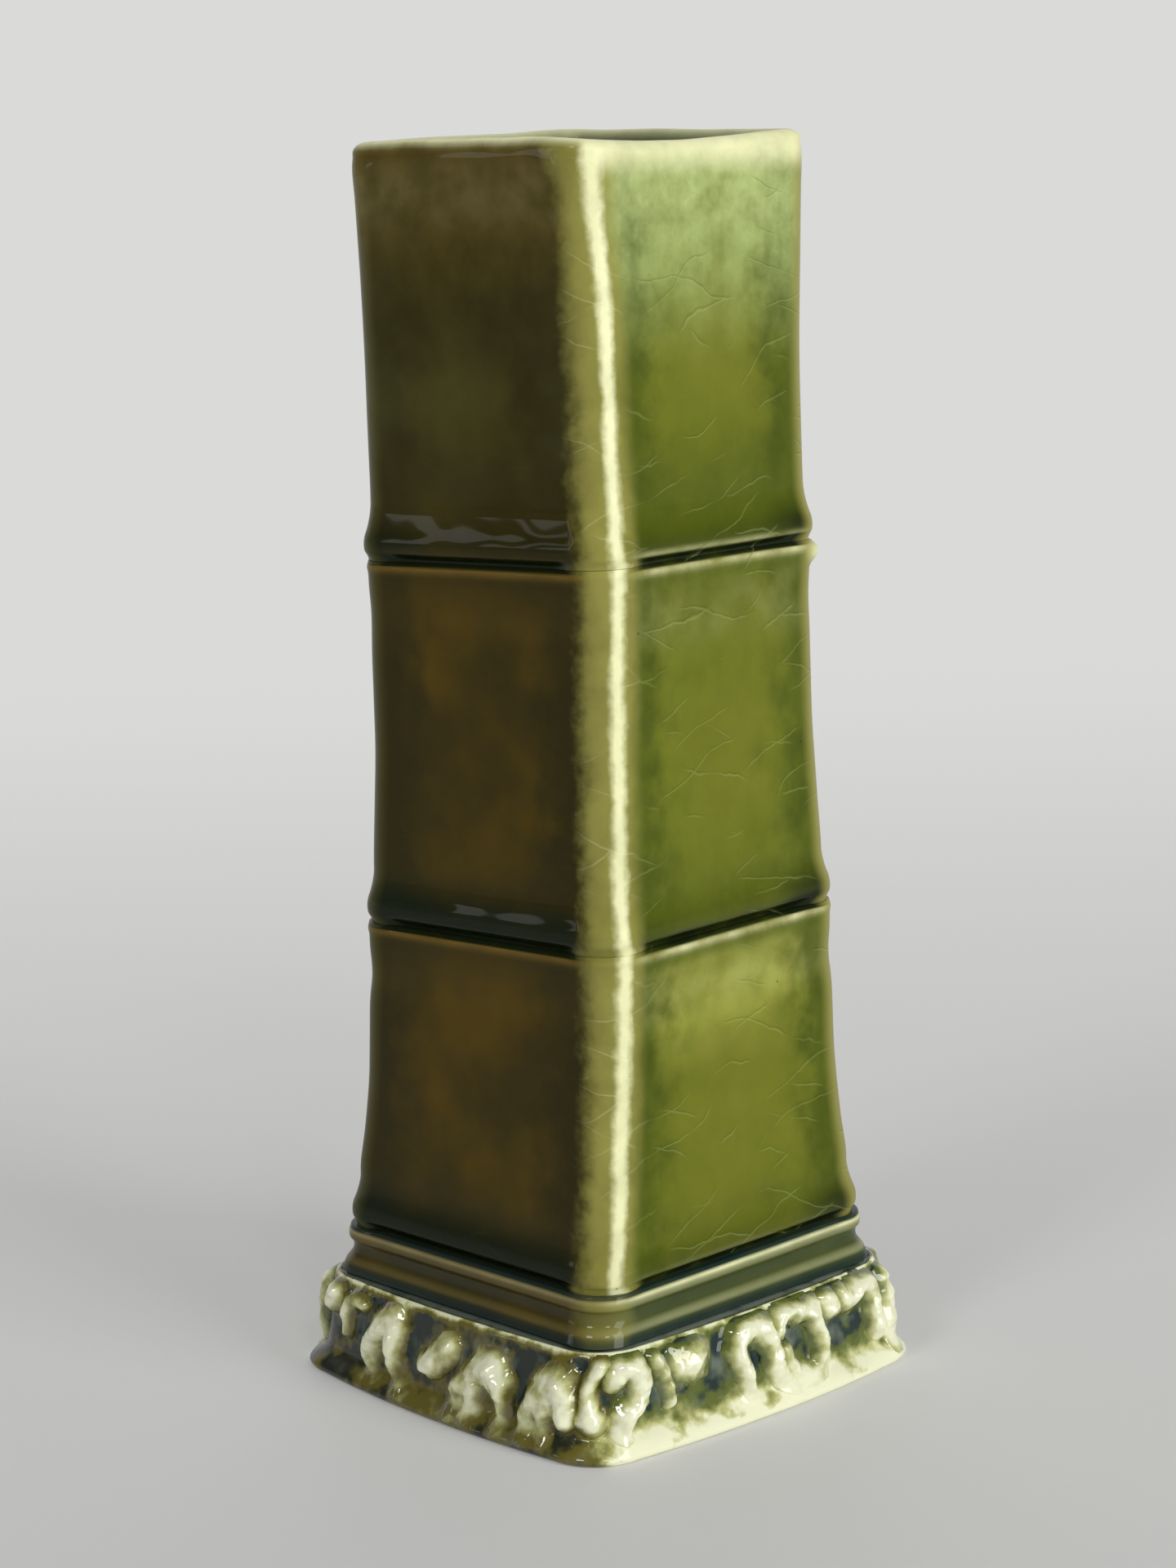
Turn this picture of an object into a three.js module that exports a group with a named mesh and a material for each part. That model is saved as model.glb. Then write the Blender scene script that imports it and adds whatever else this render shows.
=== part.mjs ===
import * as THREE from 'three';

// Square bamboo-form flower vase in glazed earthenware, built up from luted clay members.
// Millimetres, +Z up, origin at the middle of the underside, front face towards -Y.

// Heights of the stacked members, from the ground up
const FOOT_HEIGHT = 5;
const PLINTH_HEIGHT = 13.5;
const COLLAR_HEIGHT = 8.5;
const LOWER_HEIGHT = 57.6;
const MIDDLE_HEIGHT = 64.7;
const UPPER_HEIGHT = 70.7;

// Outside widths across the flats
const BAND_TOP_WIDTH = 75.6;
const COLLAR_WIDTH = 69.6;
const LOWER_TOP_WIDTH = 61.8;
const MIDDLE_TOP_WIDTH = 58.4;
const RIM_WIDTH = 58.2;

// Steps on each side: foot beyond band, spread of the band, foot of each culm behind what carries it
const FOOT_STEP = 2.6;
const BAND_SPREAD = 1.2;
const LOWER_STEP = 1.8;
const MIDDLE_STEP = 0.8;
const UPPER_STEP = 0.5;

// Walls, corners and the outward bow of the plinth's sides
const WALL = 5;
const CORNER = 6.4;
const GROOVE_CORNER = 4;
const COLLAR_CORNER = 7;
const PLINTH_CORNER = 10;
const INNER_CORNER = 2;
const FOOT_BOW = 2;
const BAND_TOP_BOW = 1.2;

// Bamboo nodes: a swelling at the foot of each culm over a glaze groove and the lip below it
const GROOVE_DEPTH = 0.8;
const GROOVE_HEIGHT = 0.9;
const LIP_HEIGHT = 1.3;
const NODE_SWELL = 1.15;
const LOWER_NODE_SWELL = 1.4;
const NODE_TURN = 1.6;
const NODE_FADE = 6.5;
const CULM_WAIST = 0.3;

// Collar mouldings, the ledge bead of the plinth and the eased edges of the foot
const COLLAR_BEAD = 2;
const COLLAR_HOLLOW = 0.8;
const LEDGE_BEAD = 1.3;
const CHANNEL_WIDTH = 2.2;
const CHANNEL_DEPTH = 0.9;
const FOOT_EASE = 0.8;

// Luted joints: a spigot on the member below stands in a socket of the member above
const SPIGOT_HEIGHT = 4;
const SPIGOT_WALL = 2;
const SLIP_GAP = 0.3;

// Floor slab, held between the foot and the plinth
const FLOOR_THICKNESS = 5;
const FLOOR_RECESS = 3;
const FLOOR_LEDGE = 2.6;
const FLOOR_COVER = 2.4;

// Applied root ornament
const ROOT_WIDTH = 5;
const SLIM_ROOT_WIDTH = 4;
const STEM_WIDTH = 2.4;
const ROOT_RELIEF = 2.8;
const ROOT_END_SHARE = 0.65;
const ROOT_FOOT = 0.07;
const ARCH_ROUND = 0.34;
const KNOB_SKIRT = 0.4;
const LARGE_KNOB_RADIUS = 3.2;
const KNOB_RADIUS = 2.8;
const SMALL_KNOB_RADIUS = 1.9;

// Glaze colours and gloss
const CULM_GREEN = '#6d7a22';
const COLLAR_GREEN = '#4d5a24';
const CHANNEL_GREEN = '#26392c';
const ROOT_GREEN = '#b9c17a';
const FOOT_CREAM = '#d9d9a6';
const FLOOR_GREEN = '#3c4f24';
const GLAZE_ROUGHNESS = 0.12;
const FOOT_ROUGHNESS = 0.25;

// Facets of the rounded forms
const CORNER_STEPS = 5;
const BOW_STEPS = 6;
const NODE_STEPS = 4;
const RIM_STEPS = 6;
const ARCH_STEPS = 4;
const ROOT_STEPS = 14;
const ROOT_SECTION_STEPS = 5;
const KNOB_STEPS = 4;
const KNOB_SEGMENTS = 12;

// Arch path of a root: two upright legs under a round crown
function archPath(left, right, foot, crown) {
  const middle = (left + right) / 2;
  const reach = (right - left) / 2;
  const shoulder = crown - ARCH_ROUND;
  const path = [[left, foot]];
  for (let step = 0; step <= ARCH_STEPS; step += 1) {
    const angle = Math.PI * (1 - step / ARCH_STEPS);
    path.push([middle + reach * Math.cos(angle), shoulder + ARCH_ROUND * Math.sin(angle)]);
  }
  path.push([right, foot]);
  return path;
}

// Root paths and knobs of one side: shares of the half side from its middle, and of the band's rise
const FRONT_ROOTS = [
  { name: 'root_1', width: SLIM_ROOT_WIDTH, path: [[-0.62, 0.38], [-0.61, 0.64], [-0.59, 0.86]] },
  { name: 'root_2', width: ROOT_WIDTH, path: archPath(-0.43, -0.21, ROOT_FOOT, 0.84) },
  { name: 'root_3', width: ROOT_WIDTH, path: archPath(0.21, 0.46, ROOT_FOOT, 0.8) },
  { name: 'root_4', width: ROOT_WIDTH, path: archPath(0.63, 0.87, ROOT_FOOT, 0.84) },
  { name: 'stem', width: STEM_WIDTH, path: [[0.985, 0.28], [0.975, 0.6], [0.965, 0.86]] },
];
const FRONT_KNOBS = [
  { name: 'knob_1', radius: SMALL_KNOB_RADIUS, at: [-0.76, 0.84] },
  { name: 'knob_2', radius: KNOB_RADIUS, at: [0.04, 0.56] },
];
const RIGHT_ROOTS = [
  {
    name: 'hook',
    width: SLIM_ROOT_WIDTH,
    path: [[-0.9, 0.7], [-0.86, 0.87], [-0.775, 0.87], [-0.725, 0.66], [-0.8, 0.38], [-0.86, 0.14]],
  },
  { name: 'root_1', width: SLIM_ROOT_WIDTH, path: archPath(-0.2, -0.02, ROOT_FOOT, 0.88) },
  {
    name: 'root_2',
    width: SLIM_ROOT_WIDTH,
    path: [[0.12, 0.62], [0.15, 0.82], [0.22, 0.88], [0.3, 0.68], [0.33, 0.38], [0.28, 0.14]],
  },
  {
    name: 'root_3',
    width: SLIM_ROOT_WIDTH,
    path: [[0.52, 0.7], [0.55, 0.85], [0.62, 0.88], [0.7, 0.66], [0.735, 0.34], [0.74, ROOT_FOOT]],
  },
  { name: 'stem', width: STEM_WIDTH, path: [[0.89, ROOT_FOOT], [0.885, 0.45], [0.87, 0.8]] },
];
const RIGHT_KNOBS = [
  { name: 'knob_1', radius: LARGE_KNOB_RADIUS, at: [-0.47, 0.68] },
  { name: 'knob_2', radius: SMALL_KNOB_RADIUS, at: [0.425, 0.84] },
];
const SIDES = [
  { name: 'front', roots: FRONT_ROOTS, knobs: FRONT_KNOBS },
  { name: 'right', roots: RIGHT_ROOTS, knobs: RIGHT_KNOBS },
  { name: 'back', roots: FRONT_ROOTS, knobs: FRONT_KNOBS },
  { name: 'left', roots: RIGHT_ROOTS, knobs: RIGHT_KNOBS },
];
const QUARTER_TURN = Math.PI / 2;
const DOME_AXIS = new THREE.Vector3(0, 1, 0);

// Levels of the seams
const plinthBase = FOOT_HEIGHT;
const collarBase = plinthBase + PLINTH_HEIGHT;
const lowerBase = collarBase + COLLAR_HEIGHT;
const middleBase = lowerBase + LOWER_HEIGHT;
const upperBase = middleBase + MIDDLE_HEIGHT;
const rimTop = upperBase + UPPER_HEIGHT;

// Widths at the foot of each member
const bandFootWidth = BAND_TOP_WIDTH + 2 * BAND_SPREAD;
const footWidth = bandFootWidth + 2 * FOOT_STEP;
const lowerFootWidth = COLLAR_WIDTH - 2 * LOWER_STEP;
const middleFootWidth = LOWER_TOP_WIDTH - 2 * MIDDLE_STEP;
const upperFootWidth = MIDDLE_TOP_WIDTH - 2 * UPPER_STEP;

// Half-widths of the well at the seams, one wall inside the narrower member
const upperBore = upperFootWidth / 2 - WALL;
const middleBore = middleFootWidth / 2 - WALL;
const lowerBore = lowerFootWidth / 2 - WALL;
const collarBore = Math.min(COLLAR_WIDTH, BAND_TOP_WIDTH) / 2 - WALL;

// Floor slab's seat in the foot and the plinth
const floorSeat = bandFootWidth / 2 - FLOOR_COVER;
const floorTop = FLOOR_RECESS + FLOOR_THICKNESS;

// Root band of the plinth
const bandTop = collarBase - LEDGE_BEAD;
const bandRise = bandTop - plinthBase;

// Point and outward normal of a rounded, bowed square, at a run from the middle of its front side
function outlinePoint(run, half, corner, bow) {
  const reach = half - corner;
  const beyond = Math.abs(run) - reach;
  if (beyond > 0) {
    const angle = beyond / corner;
    const side = Math.sign(run);
    const normal = new THREE.Vector2(side * Math.sin(angle), -Math.cos(angle));
    const point = new THREE.Vector2(side * reach, -reach).addScaledVector(normal, corner);
    return { point, normal };
  }
  const share = run / reach;
  const slope = (2 * bow * share) / reach;
  const point = new THREE.Vector2(run, -half - bow * (1 - share ** 2));
  const normal = new THREE.Vector2(slope, -1).normalize();
  return { point, normal };
}

// Ring of a profile: half-width, height, corner radius and bow of the square drawn there
function ring(half, height, corner, bow = 0) {
  return { half, height, corner, bow };
}

function ringPoints({ half, height, corner, bow }, sideSteps) {
  const reach = half - corner;
  const runs = [];
  for (let step = 0; step < sideSteps; step += 1) {
    runs.push(-reach + (2 * reach * step) / sideSteps);
  }
  for (let step = 0; step < CORNER_STEPS; step += 1) {
    runs.push(reach + (corner * QUARTER_TURN * step) / CORNER_STEPS);
  }
  return SIDES.flatMap((_, side) => runs.map((run) => {
    const { point } = outlinePoint(run, half, corner, bow);
    point.rotateAround(new THREE.Vector2(), side * QUARTER_TURN);
    return new THREE.Vector3(point.x, point.y, height);
  }));
}

function geometryOf(points, faces) {
  const geometry = new THREE.BufferGeometry().setFromPoints(points);
  geometry.setIndex(faces);
  geometry.computeVertexNormals();
  return geometry;
}

// Hollow square member: a closed loop of rings, up the outside and down the inside
function hollowMember(profile, sideSteps = 1) {
  const rings = profile.map((level) => ringPoints(level, sideSteps));
  const count = rings[0].length;
  const faces = [];
  rings.forEach((_, level) => {
    const low = level * count;
    const high = ((level + 1) % rings.length) * count;
    for (let index = 0; index < count; index += 1) {
      const next = (index + 1) % count;
      faces.push(low + index, low + next, high + next);
      faces.push(low + index, high + next, high + index);
    }
  });
  return geometryOf(rings.flat(), faces);
}

// Seat and spigot on top of a member, from the outside to the well
function spigot(bore, height) {
  const corner = INNER_CORNER + SPIGOT_WALL;
  return [
    ring(bore + SPIGOT_WALL, height, corner),
    ring(bore + SPIGOT_WALL, height + SPIGOT_HEIGHT, corner),
    ring(bore, height + SPIGOT_HEIGHT, INNER_CORNER),
  ];
}

// Socket under a member, from the well to its seat
function socket(bore, height) {
  const half = bore + SPIGOT_WALL + SLIP_GAP;
  const corner = INNER_CORNER + SPIGOT_WALL + SLIP_GAP;
  const roof = height + SPIGOT_HEIGHT + SLIP_GAP;
  return [ring(bore, roof, INNER_CORNER), ring(half, roof, corner), ring(half, height, corner)];
}

// Outside of a culm from the groove at its foot to its waist
function culmFace(base, top, lowWidth, topWidth, swell) {
  const foot = lowWidth / 2;
  const turn = base + GROOVE_HEIGHT + NODE_TURN;
  const face = [
    ring(foot - GROOVE_DEPTH, base, GROOVE_CORNER),
    ring(foot - GROOVE_DEPTH, base + GROOVE_HEIGHT, GROOVE_CORNER),
  ];
  for (let step = 0; step <= NODE_STEPS; step += 1) {
    const fade = (1 + Math.cos((Math.PI * step) / NODE_STEPS)) / 2;
    face.push(ring(foot + swell * fade, turn + (NODE_FADE * step) / NODE_STEPS, CORNER));
  }
  face.push(ring((lowWidth + topWidth) / 4 - CULM_WAIST, (base + top) / 2, CORNER));
  return face;
}

// Lip of a member under a groove
function lip(width, top, corner) {
  return [
    ring(width / 2, top - LIP_HEIGHT, corner),
    ring(width / 2 - GROOVE_DEPTH, top, GROOVE_CORNER),
  ];
}

// Half-round rim of the vase
function rim(width, top) {
  const radius = WALL / 2;
  const rings = [];
  for (let step = 0; step <= RIM_STEPS; step += 1) {
    const angle = (Math.PI * step) / RIM_STEPS;
    const half = width / 2 - radius + radius * Math.cos(angle);
    const corner = THREE.MathUtils.lerp(CORNER, INNER_CORNER, step / RIM_STEPS);
    rings.push(ring(half, top - radius + radius * Math.sin(angle), corner));
  }
  return rings;
}

function upperSection() {
  return hollowMember([
    ...culmFace(upperBase, rimTop, upperFootWidth, RIM_WIDTH, NODE_SWELL),
    ...rim(RIM_WIDTH, rimTop),
    ...socket(upperBore, upperBase),
  ]);
}

function middleSection() {
  return hollowMember([
    ...culmFace(middleBase, upperBase, middleFootWidth, MIDDLE_TOP_WIDTH, NODE_SWELL),
    ...lip(MIDDLE_TOP_WIDTH, upperBase, CORNER),
    ...spigot(upperBore, upperBase),
    ...socket(middleBore, middleBase),
  ]);
}

function lowerSection() {
  return hollowMember([
    ...culmFace(lowerBase, middleBase, lowerFootWidth, LOWER_TOP_WIDTH, LOWER_NODE_SWELL),
    ...lip(LOWER_TOP_WIDTH, middleBase, CORNER),
    ...spigot(middleBore, middleBase),
    ...socket(lowerBore, lowerBase),
  ]);
}

function collar() {
  const half = COLLAR_WIDTH / 2;
  return hollowMember([
    ring(half, collarBase, COLLAR_CORNER),
    ring(half, collarBase + COLLAR_BEAD, COLLAR_CORNER),
    ring(half - COLLAR_HOLLOW, collarBase + COLLAR_HEIGHT / 2, COLLAR_CORNER),
    ...lip(COLLAR_WIDTH, lowerBase, COLLAR_CORNER),
    ...spigot(lowerBore, lowerBase),
    ...socket(collarBore, collarBase),
  ]);
}

// Plinth: sloping root band, ledge bead, dark channel and the seat of the collar
function rootPlinth() {
  const bandHalf = BAND_TOP_WIDTH / 2;
  const channel = bandHalf - LEDGE_BEAD - CHANNEL_WIDTH / 2;
  const well = Math.min(bandHalf, floorSeat) - WALL;
  const roof = floorTop + SLIP_GAP;
  return hollowMember([
    ring(bandFootWidth / 2, plinthBase, PLINTH_CORNER, FOOT_BOW),
    ring(bandHalf, bandTop, PLINTH_CORNER, BAND_TOP_BOW),
    ring(bandHalf - LEDGE_BEAD / 2, collarBase, PLINTH_CORNER - LEDGE_BEAD / 2, BAND_TOP_BOW),
    ring(channel + CHANNEL_WIDTH / 4, collarBase - CHANNEL_DEPTH, PLINTH_CORNER - LEDGE_BEAD),
    ring(channel - CHANNEL_WIDTH / 4, collarBase - CHANNEL_DEPTH, PLINTH_CORNER - LEDGE_BEAD),
    ring(channel - CHANNEL_WIDTH / 2, collarBase, COLLAR_CORNER),
    ...spigot(collarBore, collarBase),
    ring(collarBore, bandTop, INNER_CORNER),
    ring(well, (bandTop + roof) / 2, INNER_CORNER),
    ring(well, roof, INNER_CORNER),
    ring(floorSeat, roof, PLINTH_CORNER - FLOOR_COVER),
    ring(floorSeat, plinthBase, PLINTH_CORNER - FLOOR_COVER),
  ], BOW_STEPS);
}

// Foot ring with the ledge that carries the floor slab
function footRim() {
  const half = footWidth / 2;
  const seatCorner = PLINTH_CORNER - FLOOR_COVER;
  const ledge = floorSeat - FLOOR_LEDGE;
  return hollowMember([
    ring(half - FOOT_EASE, 0, PLINTH_CORNER - FOOT_EASE, FOOT_BOW),
    ring(half, FOOT_EASE, PLINTH_CORNER, FOOT_BOW),
    ring(half, plinthBase - FOOT_EASE, PLINTH_CORNER, FOOT_BOW),
    ring(half - FOOT_EASE, plinthBase, PLINTH_CORNER - FOOT_EASE, FOOT_BOW),
    ring(floorSeat, plinthBase, seatCorner),
    ring(floorSeat, FLOOR_RECESS, seatCorner),
    ring(ledge, FLOOR_RECESS, seatCorner),
    ring(ledge, 0, seatCorner),
  ], BOW_STEPS);
}

// Rounded square plate with the slip gap all round it
function floorSlab() {
  const edge = ring(floorSeat - SLIP_GAP, 0, PLINTH_CORNER - FLOOR_COVER - SLIP_GAP);
  const outline = ringPoints(edge, 1).map(({ x, y }) => new THREE.Vector2(x, y));
  const settings = { depth: FLOOR_THICKNESS, bevelEnabled: false };
  return new THREE.ExtrudeGeometry(new THREE.Shape(outline), settings);
}

// Place and outward normal on the root band of the front side
function bandPlace(sideShare, riseShare) {
  const half = THREE.MathUtils.lerp(bandFootWidth, BAND_TOP_WIDTH, riseShare) / 2;
  const bow = THREE.MathUtils.lerp(FOOT_BOW, BAND_TOP_BOW, riseShare);
  const halfSide = half - PLINTH_CORNER + (PLINTH_CORNER * QUARTER_TURN) / 2;
  const { point, normal } = outlinePoint(sideShare * halfSide, half, PLINTH_CORNER, bow);
  const lean = BAND_SPREAD / bandRise;
  const outward = new THREE.Vector3(normal.x, normal.y, lean).normalize();
  const place = new THREE.Vector3(point.x, point.y, plinthBase + riseShare * bandRise);
  return { place: place.addScaledVector(outward, SLIP_GAP), outward };
}

// Root: a half-round section swept along a path on the band, thinner at both ends, flat at the back
function rootSprig({ width, path }) {
  const knots = path.map(([sideShare, riseShare]) => new THREE.Vector3(sideShare, riseShare, 0));
  const curve = new THREE.CatmullRomCurve3(knots);
  const steps = curve.getPoints(ROOT_STEPS).map(({ x, y }) => bandPlace(x, y));
  const points = steps.flatMap(({ place, outward }, step) => {
    const before = steps[Math.max(step - 1, 0)].place;
    const after = steps[Math.min(step + 1, ROOT_STEPS)].place;
    const along = after.clone().sub(before).normalize();
    const across = outward.clone().cross(along);
    const fullness = Math.sin((Math.PI * step) / ROOT_STEPS);
    const share = ROOT_END_SHARE + (1 - ROOT_END_SHARE) * fullness;
    return Array.from({ length: ROOT_SECTION_STEPS + 1 }, (_, index) => {
      const angle = (Math.PI * index) / ROOT_SECTION_STEPS;
      return place.clone()
        .addScaledVector(across, (width / 2) * share * Math.cos(angle))
        .addScaledVector(outward, ROOT_RELIEF * share * Math.sin(angle));
    });
  });
  const count = ROOT_SECTION_STEPS + 1;
  const last = ROOT_STEPS * count;
  const faces = [];
  for (let step = 0; step < ROOT_STEPS; step += 1) {
    for (let index = 0; index < count; index += 1) {
      const next = (index + 1) % count;
      const low = step * count;
      faces.push(low + index, low + next, low + count + next);
      faces.push(low + index, low + count + next, low + count + index);
    }
  }
  for (let index = 1; index < count - 1; index += 1) {
    faces.push(0, index + 1, index);
    faces.push(last, last + index, last + index + 1);
  }
  return geometryOf(points, faces);
}

// Knob: a dome on a short skirt, flat at the back, with its axis along +Y
function knobSprig(radius) {
  const outline = [new THREE.Vector2(0, 0), new THREE.Vector2(radius, 0)];
  for (let step = 0; step < KNOB_STEPS; step += 1) {
    const angle = (QUARTER_TURN * step) / KNOB_STEPS;
    outline.push(new THREE.Vector2(radius * Math.cos(angle), KNOB_SKIRT + ROOT_RELIEF * Math.sin(angle)));
  }
  outline.push(new THREE.Vector2(0, KNOB_SKIRT + ROOT_RELIEF));
  return new THREE.LatheGeometry(outline, KNOB_SEGMENTS);
}

function member(name, geometry, color, roughness = GLAZE_ROUGHNESS) {
  const material = new THREE.MeshStandardMaterial({ color, roughness, metalness: 0 });
  const mesh = new THREE.Mesh(geometry, material);
  mesh.name = name;
  return mesh;
}

const vase = new THREE.Group();
vase.add(member('foot_rim', footRim(), FOOT_CREAM, FOOT_ROUGHNESS));
const floor = member('floor_slab', floorSlab(), FLOOR_GREEN);
floor.position.z = FLOOR_RECESS;
vase.add(floor);
vase.add(member('root_plinth', rootPlinth(), CHANNEL_GREEN));
vase.add(member('collar', collar(), COLLAR_GREEN));
vase.add(member('lower_section', lowerSection(), CULM_GREEN));
vase.add(member('middle_section', middleSection(), CULM_GREEN));
vase.add(member('upper_section', upperSection(), CULM_GREEN));

SIDES.forEach(({ name, roots, knobs }, index) => {
  const side = new THREE.Group();
  side.rotation.z = index * QUARTER_TURN;
  roots.forEach((root) => side.add(member(`${name}_${root.name}`, rootSprig(root), ROOT_GREEN)));
  knobs.forEach((knob) => {
    const mesh = member(`${name}_${knob.name}`, knobSprig(knob.radius), ROOT_GREEN);
    const { place, outward } = bandPlace(...knob.at);
    mesh.position.copy(place);
    mesh.quaternion.setFromUnitVectors(DOME_AXIS, outward);
    side.add(mesh);
  });
  vase.add(side);
});

export default vase;
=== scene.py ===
"""Square bamboo-form flower vase: glazed culm sections on a collar and a plinth with applied roots.

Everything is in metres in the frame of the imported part: +Z up, front face towards -Y. Inside the glazes,
places and heights are in millimetres.
"""

import math
from collections import namedtuple

import bpy
from mathutils import Matrix, Vector


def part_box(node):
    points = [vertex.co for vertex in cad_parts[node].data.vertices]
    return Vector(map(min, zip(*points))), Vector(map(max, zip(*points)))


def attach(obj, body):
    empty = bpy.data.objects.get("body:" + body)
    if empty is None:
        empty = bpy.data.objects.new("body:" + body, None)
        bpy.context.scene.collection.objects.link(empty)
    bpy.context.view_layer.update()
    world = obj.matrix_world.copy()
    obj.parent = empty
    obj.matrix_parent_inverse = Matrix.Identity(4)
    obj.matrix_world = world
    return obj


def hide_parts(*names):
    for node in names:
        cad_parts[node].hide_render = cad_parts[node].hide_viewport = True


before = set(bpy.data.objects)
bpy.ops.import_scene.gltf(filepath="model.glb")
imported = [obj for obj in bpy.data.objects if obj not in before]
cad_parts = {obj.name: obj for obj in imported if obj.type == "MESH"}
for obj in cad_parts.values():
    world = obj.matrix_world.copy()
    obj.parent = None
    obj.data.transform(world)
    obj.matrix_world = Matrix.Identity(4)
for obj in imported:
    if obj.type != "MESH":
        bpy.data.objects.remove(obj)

bl_info = {
    "name": "Bamboo-form Vase",
    "version": (1, 0, 0),
    "blender": (4, 5, 0),
    "location": "View3D > Sidebar > Vase",
    "description": "Builds a square glazed vase shaped as bamboo culms over applied roots",
    "category": "Add Mesh",
}

MM = 0.001
MM_IN_METRE = 1000.0
QUARTER = math.pi / 2
SIDES = ("front", "right", "back", "left")
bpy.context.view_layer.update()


def node_level(node, top):
    """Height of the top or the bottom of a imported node."""
    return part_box(node)[1 if top else 0].z


FOOT_TOP = node_level("foot_rim", True)
COLLAR_BASE = node_level("collar", False)
LOWER_BASE = node_level("lower_section", False)
MIDDLE_BASE = node_level("middle_section", False)
UPPER_BASE = node_level("upper_section", False)
RIM_TOP = node_level("upper_section", True)
TOE_REACH = 0.82 * FOOT_TOP
WELL_CORNER = 2 * MM

# Room for one side on the unrolled band, and steps of the meshes along a side and round a corner
SIDE_PITCH = 200 * MM
CULM_STEPS = (36, 14)
PLINTH_STEPS = (150, 38)
SLAB_STEPS = (12, 8)
MERGE_DISTANCE = 0.01 * MM
SHARP_ANGLE = 1.0

# Marks that a row of a profile carries for the glaze, and for the relief of the roots and the filled corners
GLAZE_MARKS = ("pool", "thin", "brim", "heart", "inner", "crest")
ROW_MARKS = (*GLAZE_MARKS, "band", "fill")

# Strokes of the roots on one side, each point as a share of the half side from its middle, a share of the
# rise of the band and a half-width in millimetres
FRONT_ROOTS = {
    "root_1": (((-0.575, 0.84, 1.3), (-0.645, 0.86, 1.7), (-0.705, 0.66, 1.7), (-0.695, 0.36, 1.3)),),
    "root_2": (((-0.49, -0.04, 1.5), (-0.49, 0.33, 1.9), (-0.42, 0.63, 2.3), (-0.325, 0.7, 2.7),
                (-0.305, 0.46, 2.1), (-0.28, 0.16, 1.8), (-0.25, -0.22, 1.3)),),
    "root_3": (((0.155, -0.24, 1.4), (0.19, 0.06, 2.1), (0.285, 0.38, 2.9), (0.385, 0.54, 3.1),
                (0.45, 0.38, 2.4), (0.5, 0.1, 1.8), (0.475, -0.2, 1.3)),
               ((0.3, 0.3, 2.4), (0.255, -0.2, 1.5))),
    "root_4": (((0.645, -0.26, 1.4), (0.66, 0.04, 1.9), (0.72, 0.4, 2.6), (0.8, 0.6, 3.0),
                (0.85, 0.46, 2.3), (0.865, 0.12, 1.6)),
               ((0.77, 0.45, 2.3), (0.74, 0.08, 1.7), (0.76, -0.22, 1.2))),
    "stem": (((0.99, 0.95, 1.5), (0.965, 0.66, 1.4), (0.97, 0.3, 1.5), (1.0, 0.1, 1.9)),),
}
FRONT_KNOBS = {
    "knob_1": (((-0.8, 0.92, 2.0), (-0.83, 0.72, 1.8)),),
    "knob_2": (((-0.045, 0.36, 2.0), (0.075, 0.62, 2.3)),),
}
RIGHT_ROOTS = {
    "hook": (((-0.915, 0.74, 1.7), (-0.885, 0.87, 1.9), (-0.825, 0.86, 2.1), (-0.785, 0.64, 2.1),
              (-0.8, 0.42, 2.0), (-0.855, 0.24, 1.9), (-0.89, -0.04, 1.7)),
             ((-0.71, 0.92, 1.3), (-0.65, 0.6, 1.5), (-0.63, 0.26, 1.3))),
    "root_1": (((-0.115, -0.02, 1.3), (-0.15, 0.25, 1.7), (-0.19, 0.57, 2.1), (-0.175, 0.8, 2.3),
                (-0.095, 0.9, 2.4), (-0.005, 0.75, 2.3), (0.035, 0.46, 2.1), (0.085, 0.12, 1.9),
                (0.15, -0.16, 1.6)),),
    "root_2": (((0.085, 0.76, 1.7), (0.11, 0.9, 2.1), (0.19, 0.94, 2.6), (0.295, 0.88, 2.5),
                (0.36, 0.62, 2.0), (0.385, 0.26, 1.8), (0.37, 0.0, 1.7), (0.285, -0.1, 1.7),
                (0.19, 0.06, 1.5), (0.13, 0.42, 1.3)),),
    "root_3": (((0.535, 0.95, 1.6), (0.555, 0.84, 2.0), (0.62, 0.84, 2.5), (0.69, 0.92, 2.3),
                (0.76, 0.84, 2.1), (0.8, 0.52, 1.9), (0.825, 0.14, 1.7)),),
    "stem": (((0.895, 0.84, 2.0), (0.935, 0.5, 2.2), (0.95, 0.1, 2.3), (0.955, -0.14, 2.0)),),
}
RIGHT_KNOBS = {
    "knob_1": (((-0.53, 0.72, 3.3), (-0.48, 0.72, 3.3)),),
    "knob_2": (((0.43, 0.95, 1.8), (0.48, 0.76, 2.0)),),
}
ROOTS = {"front": FRONT_ROOTS, "right": RIGHT_ROOTS, "back": FRONT_ROOTS, "left": RIGHT_ROOTS}
KNOBS = {"front": FRONT_KNOBS, "right": RIGHT_KNOBS, "back": FRONT_KNOBS, "left": RIGHT_KNOBS}


# Properties


def length(name, description, millimetres):
    """Length property with its default in millimetres."""
    return bpy.props.FloatProperty(
        name=name, description=description, default=millimetres * MM, unit="LENGTH", precision=5)


def angle(name, description, degrees):
    """Angle property with its default in degrees."""
    return bpy.props.FloatProperty(
        name=name, description=description, default=math.radians(degrees), subtype="ANGLE")


def amount(name, description, default, unit="NONE"):
    """Number property, such as a share, a strength or a power."""
    return bpy.props.FloatProperty(name=name, description=description, default=default, unit=unit)


def colour(name, description, red, green, blue):
    """Colour property in linear light."""
    return bpy.props.FloatVectorProperty(
        name=name, description=description, default=(red, green, blue), size=3, min=0, max=1, subtype="COLOR")


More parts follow.
